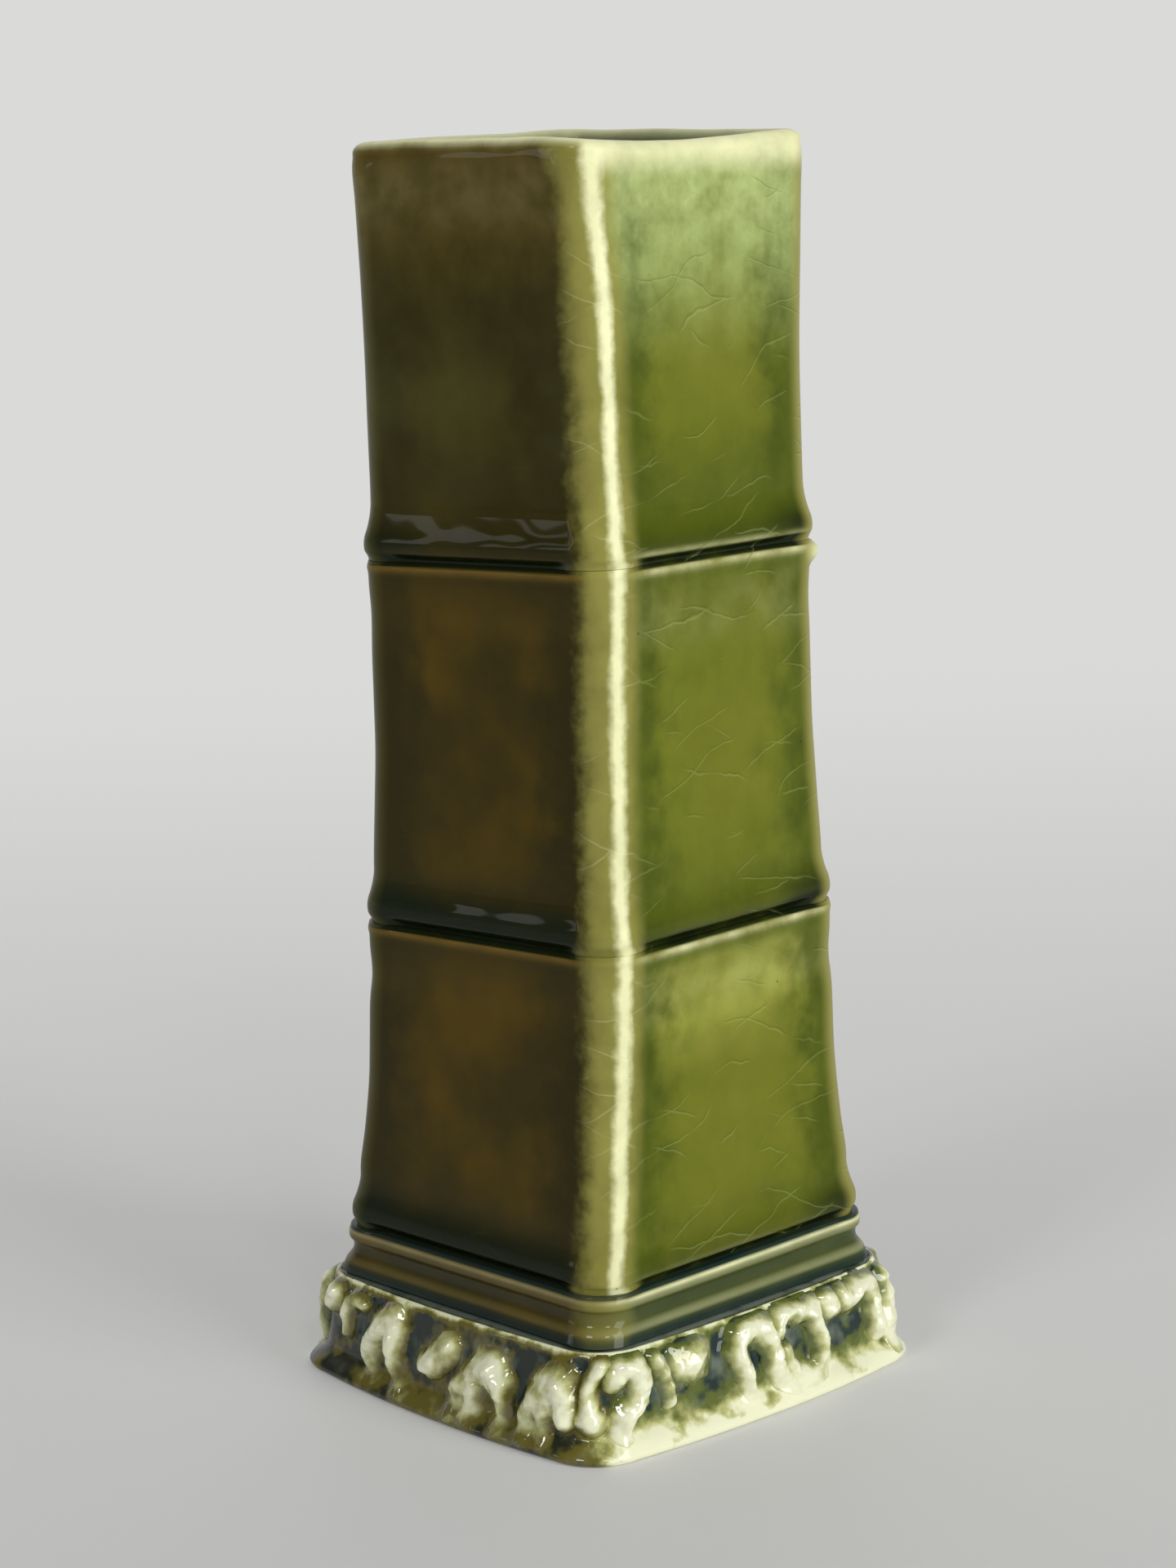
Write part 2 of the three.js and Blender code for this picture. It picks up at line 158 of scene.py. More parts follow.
class VaseSizes(bpy.types.PropertyGroup):
    """Sizes of the clay members, half-widths across the flats where a width is meant."""

    rim_half: length("Rim", "Half-width of the mouth, outside", 29.1)
    upper_half: length("Upper foot", "Half-width of the upper culm over its node", 28.7)
    middle_top: length("Middle top", "Half-width of the middle culm under its lip", 29.2)
    middle_half: length("Middle foot", "Half-width of the middle culm over its node", 30.1)
    lower_top: length("Lower top", "Half-width of the lower culm under its lip", 30.9)
    lower_half: length("Lower foot", "Half-width of the lower culm over its node", 33.0)
    collar_half: length("Collar", "Half-width of the collar's beads", 34.8)
    band_top: length("Band top", "Half-width of the root band at the ledge", 37.8)
    band_foot: length("Band foot", "Half-width of the root band at the foot", 39.0)
    foot_half: length("Foot", "Half-width of the foot rim", 41.6)
    wall: length("Wall", "Thickness of the clay wall", 5)
    corner: length("Corner", "Radius of the culms' corners", 6.4)
    plinth_corner: length("Plinth corner", "Radius of the plinth's corners", 10)
    swell: length("Node swell", "How far a culm swells over its groove", 1.1)
    groove: length("Groove depth", "Depth of the groove under each culm", 0.55)
    waist: length("Waist", "How far a culm draws in at half height", 0.3)
    foot_bow: length("Foot bow", "Outward bow of the plinth's sides at the foot", 2)
    top_bow: length("Ledge bow", "Outward bow of the plinth's sides at the ledge", 1.2)
    ledge: length("Ledge bead", "Height of the bead on the plinth's ledge", 1.3)
    relief: length("Root relief", "How far a root stands out of the band", 2.9)
    seat: length("Root seat", "Height at which a root rises out of the band", 0.35)
    spacing: length("Root mesh", "Mesh size on the roots", 0.3)
    girth: amount("Root girth", "Width of the roots against their drawn width", 1.2)


SPRIG_SIZES = ("spacing", "relief", "seat", "band_foot", "band_top", "foot_half", "foot_bow", "top_bow",
               "plinth_corner")


class KilnWarp(bpy.types.PropertyGroup):
    """How the vase moved in the firing."""

    foot_twist: angle("Foot twist", "Turn of the foot about the upright axis", -4.6)
    collar_twist: angle("Collar twist", "Turn at the collar", -2.6)
    lower_twist: angle("Lower twist", "Turn at the lower node", 0)
    upper_twist: angle("Upper twist", "Turn at the upper node", 1.2)
    rim_twist: angle("Rim twist", "Turn at the mouth", -0.4)
    foot_shift: bpy.props.FloatVectorProperty(
        name="Foot shift", description="Sideways drift of the foot", default=(-0.4 * MM, -1.0 * MM, 0),
        unit="LENGTH")
    node_tilt: angle("Node tilt", "Slope of the nodes towards the left side", 1.1)
    sway: length("Sway", "Unevenness of the sides", 0.35)
    rim_wave: length("Rim wave", "Unevenness of the rim's height", 1.1)
    rim_tilt: angle("Rim tilt", "Rise of the rim towards the back left corner", 1.7)
    rim_dip: length("Rim dip", "How far the rim sinks along the right side", 1.4)


class GlazeColours(bpy.types.PropertyGroup):
    """Colours of the glaze in linear light."""

    culm: colour("Culm green", "Glaze on the faces of the culms", 0.165, 0.2, 0.014)
    olive: colour("Olive", "Warmer patches on the green faces", 0.22, 0.22, 0.018)
    sunlit: colour("Sunlit green", "Thinner glaze under the lower node", 0.4, 0.42, 0.07)
    deep: colour("Deep green", "Glaze where it lies thicker", 0.066, 0.09, 0.003)
    # Toasted olive is browner glaze on the front face and also painted shade: it is darker than the lit glaze
    # because that face lies in shadow.
    toasted: colour("Toasted olive", "Glaze on the side that faced the fire", 0.037, 0.028, 0.001)
    ochre: colour("Ochre", "Warm patches on the toasted side", 0.118, 0.072, 0.001)
    # Ember brown is the colour of the pale lines on the toasted face, partly a painted-shade copy of the
    # cream lines.
    ember: colour("Ember brown", "Glaze on the edges of the toasted side", 0.21, 0.13, 0.02)
    thin: colour("Thin cream", "Glaze broken over edges", 0.34, 0.32, 0.075)
    # Bare edge: bare clay on the arrises, rim and drip, also the painted highlight line down the near corners
    bare: colour("Bare edge", "Clay that shows through on the arrises", 0.96, 0.96, 0.56)
    # Milky green: thin glaze near the mouth, partly a painted sheen, and the painted highlight beside the
    # crackle
    milky: colour("Milky green", "Thin glaze near the mouth", 0.53, 0.65, 0.24)
    pooled: colour("Pooled black-green", "Glaze run together in the grooves", 0.01, 0.016, 0.004)
    collar: colour("Collar olive", "Glaze on the collar", 0.105, 0.125, 0.03)
    recess: colour("Recess slate", "Glaze pooled between the roots", 0.012, 0.03, 0.027)
    # Cloudy slate: milky glaze and partly a painted sheen on the hollows
    cloud: colour("Cloudy slate", "Milky glaze in the channel and beside the roots", 0.2, 0.24, 0.19)
    moss: colour("Moss green", "Glaze on the flanks of the roots", 0.12, 0.15, 0.025)
    root: colour("Root cream", "Thin glaze on the roots", 0.58, 0.59, 0.23)
    # Foot cream: wiped glaze on the foot; on the crests thin glaze and partly a painted highlight
    foot: colour("Foot cream", "Wiped glaze on the foot and on the crests", 0.98, 0.99, 0.7)
    well: colour("Well green", "Glaze inside the vase", 0.035, 0.06, 0.015)


class StageSettings(bpy.types.PropertyGroup):
    """Floor, light and viewpoint."""

    floor: colour("Floor", "Colour of the floor", 0.78, 0.78, 0.77)
    ambient: amount("Ambient", "Strength of the light all round", 0.12)
    horizon: amount("Horizon", "Strength of the light at floor level", 0.4)
    backdrop: amount("Backdrop", "Strength of the light behind the vase", 0.9)
    key: amount("Key", "Power of the main lamp", 32, "POWER")
    fill: amount("Fill", "Power of the fill lamp", 22, "POWER")
    window: amount("Window", "Power of a window lamp one metre wide", 4.2, "POWER")
    sparkle: amount("Sparkle", "Power of the small lamp", 7, "POWER")
    eye_distance: length("Eye distance", "Distance of the eye from the upright axis", 585.6)
    eye_height: length("Eye height", "Height of the eye over the floor", 213.2)
    eye_turn: angle("Eye turn", "Turn of the eye from the front face", 43.0)
    pitch: angle("Pitch", "Downward tilt of the view", 10.31)
    yaw: angle("Yaw", "Sideways turn of the view", 0.132)
    roll: angle("Roll", "Roll of the view", -1.707)
    lens: amount("Lens", "Focal length in millimetres", 76.785)


def titled(settings, names):
    """Values of a property group under the names of node sockets."""
    values = {name.replace("_", " ").title(): getattr(settings, name) for name in names}
    return {name: value if isinstance(value, float) else tuple(value) for name, value in values.items()}


# Node building


class Value:
    """Output of a node that can be reckoned with; each operation adds a Math node."""

    def __init__(self, tree, socket):
        self.tree = tree
        self.socket = socket

    def op(self, operation, *others):
        """Math node with this value as its first term."""
        return output_of(self.tree, "ShaderNodeMath", (self, *others), operation=operation)

    def __add__(self, other):
        return self.op("ADD", other)

    def __sub__(self, other):
        return self.op("SUBTRACT", other)

    def __rsub__(self, other):
        return output_of(self.tree, "ShaderNodeMath", (other, self), operation="SUBTRACT")

    def __mul__(self, other):
        return self.op("MULTIPLY", other)

    def __truediv__(self, other):
        return self.op("DIVIDE", other)

    def __rtruediv__(self, other):
        return output_of(self.tree, "ShaderNodeMath", (other, self), operation="DIVIDE")

    def __neg__(self):
        return self * -1.0

    def __abs__(self):
        return self.op("ABSOLUTE")

    __radd__ = __add__
    __rmul__ = __mul__

    def below(self, other):
        """Lesser of two values."""
        return self.op("MINIMUM", other)

    def above(self, other):
        """Greater of two values."""
        return self.op("MAXIMUM", other)

    def ramp(self, low, high, start=0.0, end=1.0):
        """Smooth step from start at low to end at high."""
        return output_of(self.tree, "ShaderNodeMapRange", (self, low, high, start, end),
                         interpolation_type="SMOOTHSTEP")


def feed(tree, value, socket):
    """Link a value to a socket, or set the socket to a plain number or vector."""
    if isinstance(value, Value):
        tree.links.new(value.socket, socket)
    else:
        socket.default_value = value


def add_node(tree, kind, inputs=(), **settings):
    """Node with its settings made and its inputs fed, in order or by name."""
    node = tree.nodes.new(kind)
    for name, value in settings.items():
        setattr(node, name, value)
    pairs = inputs.items() if isinstance(inputs, dict) else enumerate(inputs)
    for key, value in pairs:
        feed(tree, value, node.inputs[key])
    return node


def output_of(tree, kind, inputs=(), output=0, **settings):
    """One output of a new node."""
    return Value(tree, add_node(tree, kind, inputs, **settings).outputs[output])


def vector(tree, x, y, z):
    """Vector from its three parts."""
    return output_of(tree, "ShaderNodeCombineXYZ", (x, y, z))


def parts_of(tree, value):
    """Three parts of a vector."""
    node = add_node(tree, "ShaderNodeSeparateXYZ", (value,))
    return [Value(tree, socket) for socket in node.outputs]


def vector_sum(tree, first, second):
    """Sum of two vectors."""
    return output_of(tree, "ShaderNodeVectorMath", (first, second), operation="ADD")


def turned(tree, value, turn):
    """Vector turned about the upright axis."""
    return output_of(tree, "ShaderNodeVectorRotate", {"Vector": value, "Angle": turn}, rotation_type="Z_AXIS")


def noise(tree, place, scale, seed, detail=2.0):
    """Cloud noise from -1 to 1."""
    cloud = output_of(tree, "ShaderNodeTexNoise", {
        "Vector": place, "W": seed, "Scale": scale, "Detail": detail}, noise_dimensions="4D")
    return (cloud - 0.5) * 2.0


def new_tree(name, kind, inputs, outputs):
    """Node group with named sockets: an input is given by its default, or by the name of its type."""
    tree = bpy.data.node_groups.new(name, f"{kind}NodeTree")
    types = {int: "Int", float: "Float", tuple: "Vector"}
    for label, given in inputs.items():
        typed = isinstance(given, str)
        socket_type = f"NodeSocket{given if typed else types[type(given)]}"
        socket = tree.interface.new_socket(label, in_out="INPUT", socket_type=socket_type)
        if not typed:
            socket.default_value = given
    for label in outputs:
        socket_type = "NodeSocketGeometry" if label == "Geometry" else "NodeSocketFloat"
        tree.interface.new_socket(label, in_out="OUTPUT", socket_type=socket_type)
    source = tree.nodes.new("NodeGroupInput")
    return tree, {label: Value(tree, source.outputs[label]) for label in inputs}


def close_tree(tree, **outputs):
    """Group output fed with the named values."""
    add_node(tree, "NodeGroupOutput", outputs)
    return tree


def shared(name):
    """Node group by its name, built when it is first asked for."""
    return bpy.data.node_groups.get(name) or BUILDERS[name]()


def group(tree, name, inputs):
    """Outputs of a shared node group placed in a tree."""
    kind = tree.bl_idname.replace("Tree", "Group")
    node = add_node(tree, kind, inputs, node_tree=shared(name))
    return {socket.name: Value(tree, socket) for socket in node.outputs}


def attribute(tree, name):
    """Named attribute in a geometry tree."""
    return output_of(tree, "GeometryNodeInputNamedAttribute", {"Name": name}, data_type="FLOAT")


def stored(tree, geometry, name, value):
    """Geometry with a value stored on its points."""
    return output_of(tree, "GeometryNodeStoreNamedAttribute", {
        "Geometry": geometry, "Name": name, "Value": value}, data_type="FLOAT", domain="POINT")


def moved(tree, geometry, place):
    """Geometry with its points set to a place."""
    return output_of(tree, "GeometryNodeSetPosition", {"Geometry": geometry, "Position": place})


def merged(tree, geometry):
    """Geometry with its doubled points joined."""
    return output_of(tree, "GeometryNodeMergeByDistance", {"Geometry": geometry, "Distance": MERGE_DISTANCE})


def sampled(tree, geometry, value, index, data_type="FLOAT"):
    """Value of a geometry's point, by index."""
    return output_of(tree, "GeometryNodeSampleIndex", {
        "Geometry": geometry, "Value": value, "Index": index}, data_type=data_type, domain="POINT")


# Clay


def rim_rise(tree, given, across, along):
    """How far the rim is lifted or sunk, over the plan of the vase."""
    wave_scale = 24.0
    dip_start, dip_end = 12 * MM, 28 * MM
    dip_middle, dip_reach = -6 * MM, 32 * MM
    wave = noise(tree, vector(tree, across, along, 0.0), wave_scale, given["Seed"] + 13.0)
    lift = wave * given["Rim Wave"] + (along - across).above(0.0) * given["Rim Tilt"]
    along_side = (along - dip_middle) / dip_reach
    dip = across.ramp(dip_start, dip_end) * (1.0 - along_side * along_side).above(0.0)
    return lift - dip * given["Rim Dip"]


def build_kiln_warp():
    """Shared drift of the clay in the firing: a twist, a shift of the foot, uneven sides and a wavy rim."""
    warp = titled(bpy.context.scene.vase_warp, KilnWarp.__annotations__)
    tree, given = new_tree("Kiln Warp", "Geometry", {
        "Geometry": "Geometry", **warp, "Seed": 3.0}, ("Geometry",))
    sway_scale = 26.0
    rim_reach = 60 * MM
    tilt_axis = 30 * MM
    place = output_of(tree, "GeometryNodeInputPosition")
    across, along, height = parts_of(tree, place)

    levels = (("Foot Twist", FOOT_TOP), ("Collar Twist", LOWER_BASE), ("Lower Twist", MIDDLE_BASE),
              ("Upper Twist", UPPER_BASE), ("Rim Twist", RIM_TOP))
    turn = given["Foot Twist"]
    for (low_name, low), (high_name, high) in zip(levels, levels[1:]):
        turn = turn + (given[high_name] - given[low_name]) * height.ramp(low, high)

    shift_x, shift_y, _ = parts_of(tree, given["Foot Shift"])
    settled = height.ramp(FOOT_TOP, MIDDLE_BASE, 1.0, 0.0)
    sway_x = noise(tree, place, sway_scale, given["Seed"]) * given["Sway"]
    sway_y = noise(tree, place, sway_scale, given["Seed"] + 7.0) * given["Sway"]
    tilted = height.ramp(LOWER_BASE, MIDDLE_BASE) * height.ramp(UPPER_BASE, RIM_TOP, 1.0, 0.0)
    rise = rim_rise(tree, given, across, along) * height.ramp(RIM_TOP - rim_reach, RIM_TOP)
    rise = rise + (across - tilt_axis) * given["Node Tilt"] * tilted
    drift = vector(tree, shift_x * settled + sway_x, shift_y * settled + sway_y, rise)
    warped = vector_sum(tree, turned(tree, place, turn), drift)
    return close_tree(tree, Geometry=moved(tree, given["Geometry"], warped))


def build_root_relief():
    """Height of the nearest root over the band, from its path on the unrolled band."""
    tree, given = new_tree("Root Relief", "Geometry", {
        "Paths": "Geometry", "Place": "Vector", "Relief": 3 * MM, "Band Rise": 12 * MM, "Seed": 5.0,
    }, ("Height", "Halo"))
    paths = given["Paths"]
    flat = given["Place"]
    seed = given["Seed"]
    bend_scale, bend_size = 160.0, 1.5 * MM
    knob_scale, lump_scale = 170.0, 240.0
    halo_reach = 3.2 * MM

    bend_x = noise(tree, flat, bend_scale, seed, 3.0) * bend_size
    bend_y = noise(tree, flat, bend_scale, seed + 4.0, 3.0) * bend_size
    spot = {"Geometry": paths, "Sample Position": vector_sum(tree, flat, vector(tree, bend_x, bend_y, 0.0))}
    distance = output_of(tree, "GeometryNodeProximity", spot, output="Distance", target_element="EDGES")
    nearest = output_of(tree, "GeometryNodeSampleNearest", spot, domain="POINT")
    knobbly = 1.0 + noise(tree, flat, knob_scale, seed + 15.0) * 0.4
    width = sampled(tree, paths, attribute(tree, "width"), nearest) * knobbly
    spread = distance / width
    bell = (1.0 - spread * spread / 2.3).above(0.0)
    lumps = 1.0 + noise(tree, flat, lump_scale, seed + 9.0, 3.0) * 0.6
    stand = given["Relief"] * lumps * width.ramp(1.0 * MM, 2.6 * MM, 0.66, 1.0)
    level = parts_of(tree, flat)[1]
    fade = (level - given["Band Rise"]).ramp(-0.3 * MM, 1.4 * MM, 1.0, 0.0)
    fade = fade * level.ramp(-TOE_REACH, 3.5 * MM, 0.2, 1.0)
    halo = (distance - width).ramp(0.0, halo_reach, 1.0, 0.0)
    return close_tree(tree, Height=bell * bell * stand * fade, Halo=halo)


def finish_tree(tree, geometry, material):
    """Warp, close, smooth and glaze what a tree has made."""
    geometry = group(tree, "Kiln Warp", {"Geometry": geometry})["Geometry"]
    geometry = merged(tree, geometry)
    geometry = output_of(tree, "GeometryNodeSetShadeSmooth", {"Geometry": geometry})
    sharp = output_of(tree, "GeometryNodeInputMeshEdgeAngle").op("GREATER_THAN", SHARP_ANGLE)
    geometry = output_of(tree, "GeometryNodeSetShadeSmooth", {
        "Geometry": geometry, "Selection": sharp, "Shade Smooth": False}, domain="EDGE")
    geometry = output_of(tree, "GeometryNodeRealizeInstances", {"Geometry": geometry})
    geometry = output_of(tree, "GeometryNodeSetMaterial", {"Geometry": geometry, "Material": material})
    return close_tree(tree, Geometry=geometry)


def roots_beside(tree, given, run, pitch, side, height):
    """Relief and halo of the roots of a side, and of the next side's roots that pass round the corner."""
    paths = output_of(tree, "GeometryNodeObjectInfo", {"Object": given["Root Paths"]}, output="Geometry")
    relief = 0.0
    halo = 0.0
    for ahead in (0.0, 1.0):
        spot = run - pitch * ahead + (side + ahead) * SIDE_PITCH
        spot = spot.op("WRAP", SIDE_PITCH * 3.5, -SIDE_PITCH / 2)
        found = group(tree, "Root Relief", {
            "Paths": paths, "Place": vector(tree, spot, height - given["Band Base"], 0.0),
            "Relief": given["Relief"], "Band Rise": given["Band Rise"]})
        relief = found["Height"].above(relief)
        halo = found["Halo"].above(halo)
    return relief, halo


def sheet_round(tree, given):
    """Sheet of the profile's rows by the steps round, and each point's row, side, step and turn."""
    rows = output_of(tree, "GeometryNodeAttributeDomainSize", {"Geometry": given["Geometry"]},
                     output="Point Count", component="MESH")
    side_columns = given["Side Steps"] + given["Corner Steps"]
    columns = side_columns * 4.0
    sheet = output_of(tree, "GeometryNodeMeshGrid", {
        "Size X": 1.0, "Size Y": 1.0, "Vertices X": columns + 1.0, "Vertices Y": rows + 1.0})
    grid_x, grid_y, _ = parts_of(tree, output_of(tree, "GeometryNodeInputPosition"))
    column = ((grid_x + 0.5) * columns).op("ROUND").op("FLOORED_MODULO", columns)
    index = ((grid_y + 0.5) * rows).op("ROUND").op("FLOORED_MODULO", rows)
    side = ((column + 0.01) / side_columns).op("FLOOR")
    step = column - side * side_columns
    turn = (column - given["Side Steps"] * 0.5) / columns * (2 * math.pi)
    return sheet, index, side, step, turn


def corner_marks(corner, reach, flat, bend, side):
    """Distance to the nearest corner, the same with its sign, and whether the cream strip runs there."""
    before = corner * (QUARTER / 2) + reach * flat * 2.0 + corner * bend
    after = corner * (QUARTER / 2 - bend) + reach * (1.0 - flat) * 2.0
    passed = before.op("LESS_THAN", abs(after))
    odd = side.op("FLOORED_MODULO", 2.0)
    return {
        "edge": before.below(abs(after)),
        "brow": before * passed - after * (1.0 - passed),
        "seam": odd * passed + (1.0 - odd) * (1.0 - passed),
    }


def build_ring_member():
    """Closed clay member: a profile carried round a rounded, bowed square, raised a little under roots."""
    tree, given = new_tree("Ring Member", "Geometry", {
        "Geometry": "Geometry", "Side Steps": 40, "Corner Steps": 12, "Root Paths": "Object",
        "Relief": 2.8 * MM, "Seat": 0.3 * MM, "Band Base": FOOT_TOP, "Band Rise": 12 * MM,
        "Drip": (0.0, 0.0, -1.0), "Drip Size": 3 * MM, "Material": "Material",
    }, ("Geometry",))
    profile = given["Geometry"]
    sheet, index, side, step, front_turn = sheet_round(tree, given)

    def on_profile(name):
        """Mark of the profile's row that a point lies on."""
        return sampled(tree, profile, attribute(tree, name), index)

    place = output_of(tree, "GeometryNodeInputPosition")
    half, bow, height = parts_of(tree, sampled(tree, profile, place, index, "FLOAT_VECTOR"))
    corner = on_profile("corner")
    band = on_profile("band")
    reach = half - corner
    flat = (step / given["Side Steps"]).below(1.0)
    bend = (step - given["Side Steps"]).above(0.0) / given["Corner Steps"] * QUARTER
    sine = bend.op("SINE")
    cosine = bend.op("COSINE")
    share = flat * 2.0 - 1.0
    marks = corner_marks(corner, reach, flat, bend, side)
    relief, halo = roots_beside(tree, given, reach * share + corner * bend, reach * 2.0 + corner * QUARTER,
                                side, height)

    turn = side * QUARTER
    inset = -reach - corner * cosine - bow * (1.0 - share * share)
    outline = turned(tree, vector(tree, reach * share + corner * sine, inset, height), turn)
    outward = turned(tree, vector(tree, sine, -cosine, 0.0), turn)
    drip = output_of(tree, "ShaderNodeVectorMath", (outline, given["Drip"]), output="Value",
                     operation="DISTANCE").ramp(0.0, given["Drip Size"], 1.0, 0.0)
    filled = on_profile("fill") * marks["edge"].ramp(3 * MM, 10 * MM, 1.0, 0.0)
    raised = relief.below(given["Seat"]) * band + filled + drip * given["Drip Size"] * 0.5
    stand = output_of(tree, "ShaderNodeVectorMath", {0: outward, "Scale": raised}, operation="SCALE")

    marks |= {
        # toast marks the front face, whose glaze is browner and also darkened as painted shade
        "toast": front_turn.op("COSINE").ramp(0.6, 0.76),
        "relief": relief / given["Relief"] * band,
        "halo": halo * band,
        "drip": drip,
        **{name: on_profile(name) for name in GLAZE_MARKS},
    }
    for name, value in marks.items():
        sheet = stored(tree, sheet, name, value)
    return finish_tree(tree, moved(tree, sheet, vector_sum(tree, outline, stand)), given["Material"])


def closed_patch(tree, given, beyond):
    """Flat patch round a path without what lies beyond the root, doubled to a slab one metre thick."""
    margin = 15 * MM
    box = add_node(tree, "GeometryNodeBoundBox", {"Geometry": given["Geometry"]})
    low_x, low_y, _ = parts_of(tree, Value(tree, box.outputs["Min"]))
    high_x, high_y, _ = parts_of(tree, Value(tree, box.outputs["Max"]))
    size_x = high_x - low_x + margin
    size_y = high_y - low_y + margin
    patch = output_of(tree, "GeometryNodeMeshGrid", {
        "Size X": size_x, "Size Y": size_y, "Vertices X": (size_x / given["Spacing"]).op("CEIL"),
        "Vertices Y": (size_y / given["Spacing"]).op("CEIL")})
    middle = vector(tree, (low_x + high_x) * 0.5, (low_y + high_y) * 0.5, 0.0)
    patch = output_of(tree, "GeometryNodeTransform", {"Geometry": patch, "Translation": middle})
    patch = output_of(tree, "GeometryNodeDeleteGeometry", {
        "Geometry": patch, "Selection": beyond}, domain="POINT")
    raised = output_of(tree, "GeometryNodeExtrudeMesh", {
        "Mesh": patch, "Offset": (0.0, 0.0, 1.0), "Offset Scale": 1.0, "Individual": False}, mode="FACES")
    back = output_of(tree, "GeometryNodeFlipFaces", {"Mesh": patch})
    join = add_node(tree, "GeometryNodeJoinGeometry")
    for piece in (raised, back):
        tree.links.new(piece.socket, join.inputs[0])
    return merged(tree, Value(tree, join.outputs[0]))


def build_root_sprig():
    """Root or knob: a patch of the unrolled band raised along a path, closed at the back and wrapped on."""
    tree, given = new_tree("Root Sprig", "Geometry", {
        "Geometry": "Geometry", "Side": 0.0, **titled(bpy.context.scene.vase_sizes, SPRIG_SIZES),
        "Band Base": FOOT_TOP, "Band Rise": 12 * MM, "Material": "Material",
    }, ("Geometry",))
    least_height = 0.1 * MM
    lowest = 0.9 * MM - FOOT_TOP
    depth = 1.4 * MM
    place_x, place_y, layer = parts_of(tree, output_of(tree, "GeometryNodeInputPosition"))
    found = group(tree, "Root Relief", {
        "Paths": given["Geometry"], "Place": vector(tree, place_x, place_y, 0.0),
        "Relief": given["Relief"], "Band Rise": given["Band Rise"]})["Height"]
    beyond = found.op("LESS_THAN", least_height).above(place_y.op("LESS_THAN", lowest))
    solid = closed_patch(tree, given, beyond)

    sunk = found - (given["Seat"] - found).above(0.0) * 3.0
    lift = (sunk + depth) * layer - depth
    share = (place_y / given["Band Rise"]).above(0.0)
    toe = place_y.ramp(-TOE_REACH, 0.0, 1.0, 0.0)
    half = given["Band Foot"] + (given["Band Top"] - given["Band Foot"]) * share
    half = half + (given["Foot Half"] - given["Band Foot"]) * toe
    bow = given["Foot Bow"] + (given["Top Bow"] - given["Foot Bow"]) * share
    reach = half - given["Plinth Corner"]
    run = place_x - given["Side"] * SIDE_PITCH
    flat = run.below(reach).above(-reach)
    bend = (run - flat) / given["Plinth Corner"]
    stand = given["Plinth Corner"] + lift
    across = flat / reach
    inset = -reach - stand * bend.op("COSINE") - bow * (1.0 - across * across)
    shaped = vector(tree, flat + stand * bend.op("SINE"), inset, place_y + given["Band Base"])

    solid = stored(tree, solid, "relief", found / given["Relief"])
    solid = stored(tree, solid, "halo", 1.0)
    # Front roots take the toasted mark, so their glaze is also darkened as painted shade
    solid = stored(tree, solid, "toast", 1.0 - given["Side"].below(1.0))
    wrapped = moved(tree, solid, turned(tree, shaped, given["Side"] * QUARTER))
    return finish_tree(tree, wrapped, given["Material"])


# Glaze


def build_glaze_flow():
    """Streaks, mottling and broad patches of a run glaze."""
    tree, given = new_tree("Glaze Flow", "Shader", {
        "Place": "Vector", "Streak Width": 3.0, "Mottle Size": 6.0, "Patch Size": 26.0,
    }, ("Streaks", "Mottle", "Patches"))
    width = given["Streak Width"]
    patch = given["Patch Size"]
    streak_stretch = 9.0
    across, along, height = parts_of(tree, given["Place"])
    drawn = vector(tree, across / width, along / width, height / (width * streak_stretch))
    streaks = noise(tree, drawn, 1.0, 1.0, 3.0).ramp(-0.5, 0.5)
    mottle = noise(tree, given["Place"], 1.0 / given["Mottle Size"], 2.0, 4.0).ramp(-0.6, 0.6)
    spread = vector(tree, across / patch, along / patch, height / patch)
    patches = noise(tree, spread, 1.0, 6.0, 2.0).ramp(-0.35, 0.45)
    return close_tree(tree, Streaks=streaks, Mottle=mottle, Patches=patches)


def build_craze_lines():
    """Fine crackle in the glaze: long wandering lines, mostly level, each with a painted highlight beside it.
    """
    tree, given = new_tree("Craze Lines", "Shader", {
        "Place": "Vector", "Pitch": 3.7, "Width": 0.25}, ("Lines", "Glints"))
    place = given["Place"]
    width = given["Width"]
    across, along, height = parts_of(tree, place)
    lines = 0.0
    glints = 0.0
    for seed, lean, wander in ((3.0, 0.25, 6.0), (8.0, -0.4, 7.5)):
        drift = noise(tree, place, 0.05, seed, 1.0) * wander
        quiver = noise(tree, place, 0.35, seed + 5.0, 1.0) * 0.6
        level = height + (across + along) * lean + drift + quiver
        opened = noise(tree, place, 0.075, seed + 20.0, 1.0).ramp(0.0, 0.2)
        crack = level.op("PINGPONG", given["Pitch"]).ramp(0.0, width, 1.0, 0.0)
        highlight_line = (level + width * 1.3).op("PINGPONG", given["Pitch"]).ramp(0.0, width, 1.0, 0.0)
        lines = (crack * opened).above(lines)
        glints = (highlight_line * opened).above(glints)
    return close_tree(tree, Lines=lines, Glints=glints)


def build_specks():
    """Scattered iron specks and pinholes."""
    tree, given = new_tree("Specks", "Shader", {"Place": "Vector", "Spacing": 8.0}, ("Specks",))
    cells = vector(tree, *(part / given["Spacing"] for part in parts_of(tree, given["Place"])))
    node = add_node(tree, "ShaderNodeTexVoronoi", {"Vector": cells, "Scale": 1.0})
    red, green, _ = parts_of(tree, Value(tree, node.outputs["Color"]))
    dot = Value(tree, node.outputs["Distance"]).ramp(0.01, green * 0.025 + 0.025, 1.0, 0.0)
    return close_tree(tree, Specks=dot * red.ramp(0.6, 0.62))


BUILDERS = {
    "Kiln Warp": build_kiln_warp,
    "Root Relief": build_root_relief,
    "Ring Member": build_ring_member,
    "Root Sprig": build_root_sprig,
    "Glaze Flow": build_glaze_flow,
    "Craze Lines": build_craze_lines,
    "Specks": build_specks,
}


def rgb(value):
    """Colour for a socket, opaque."""
    return (*value, 1.0)


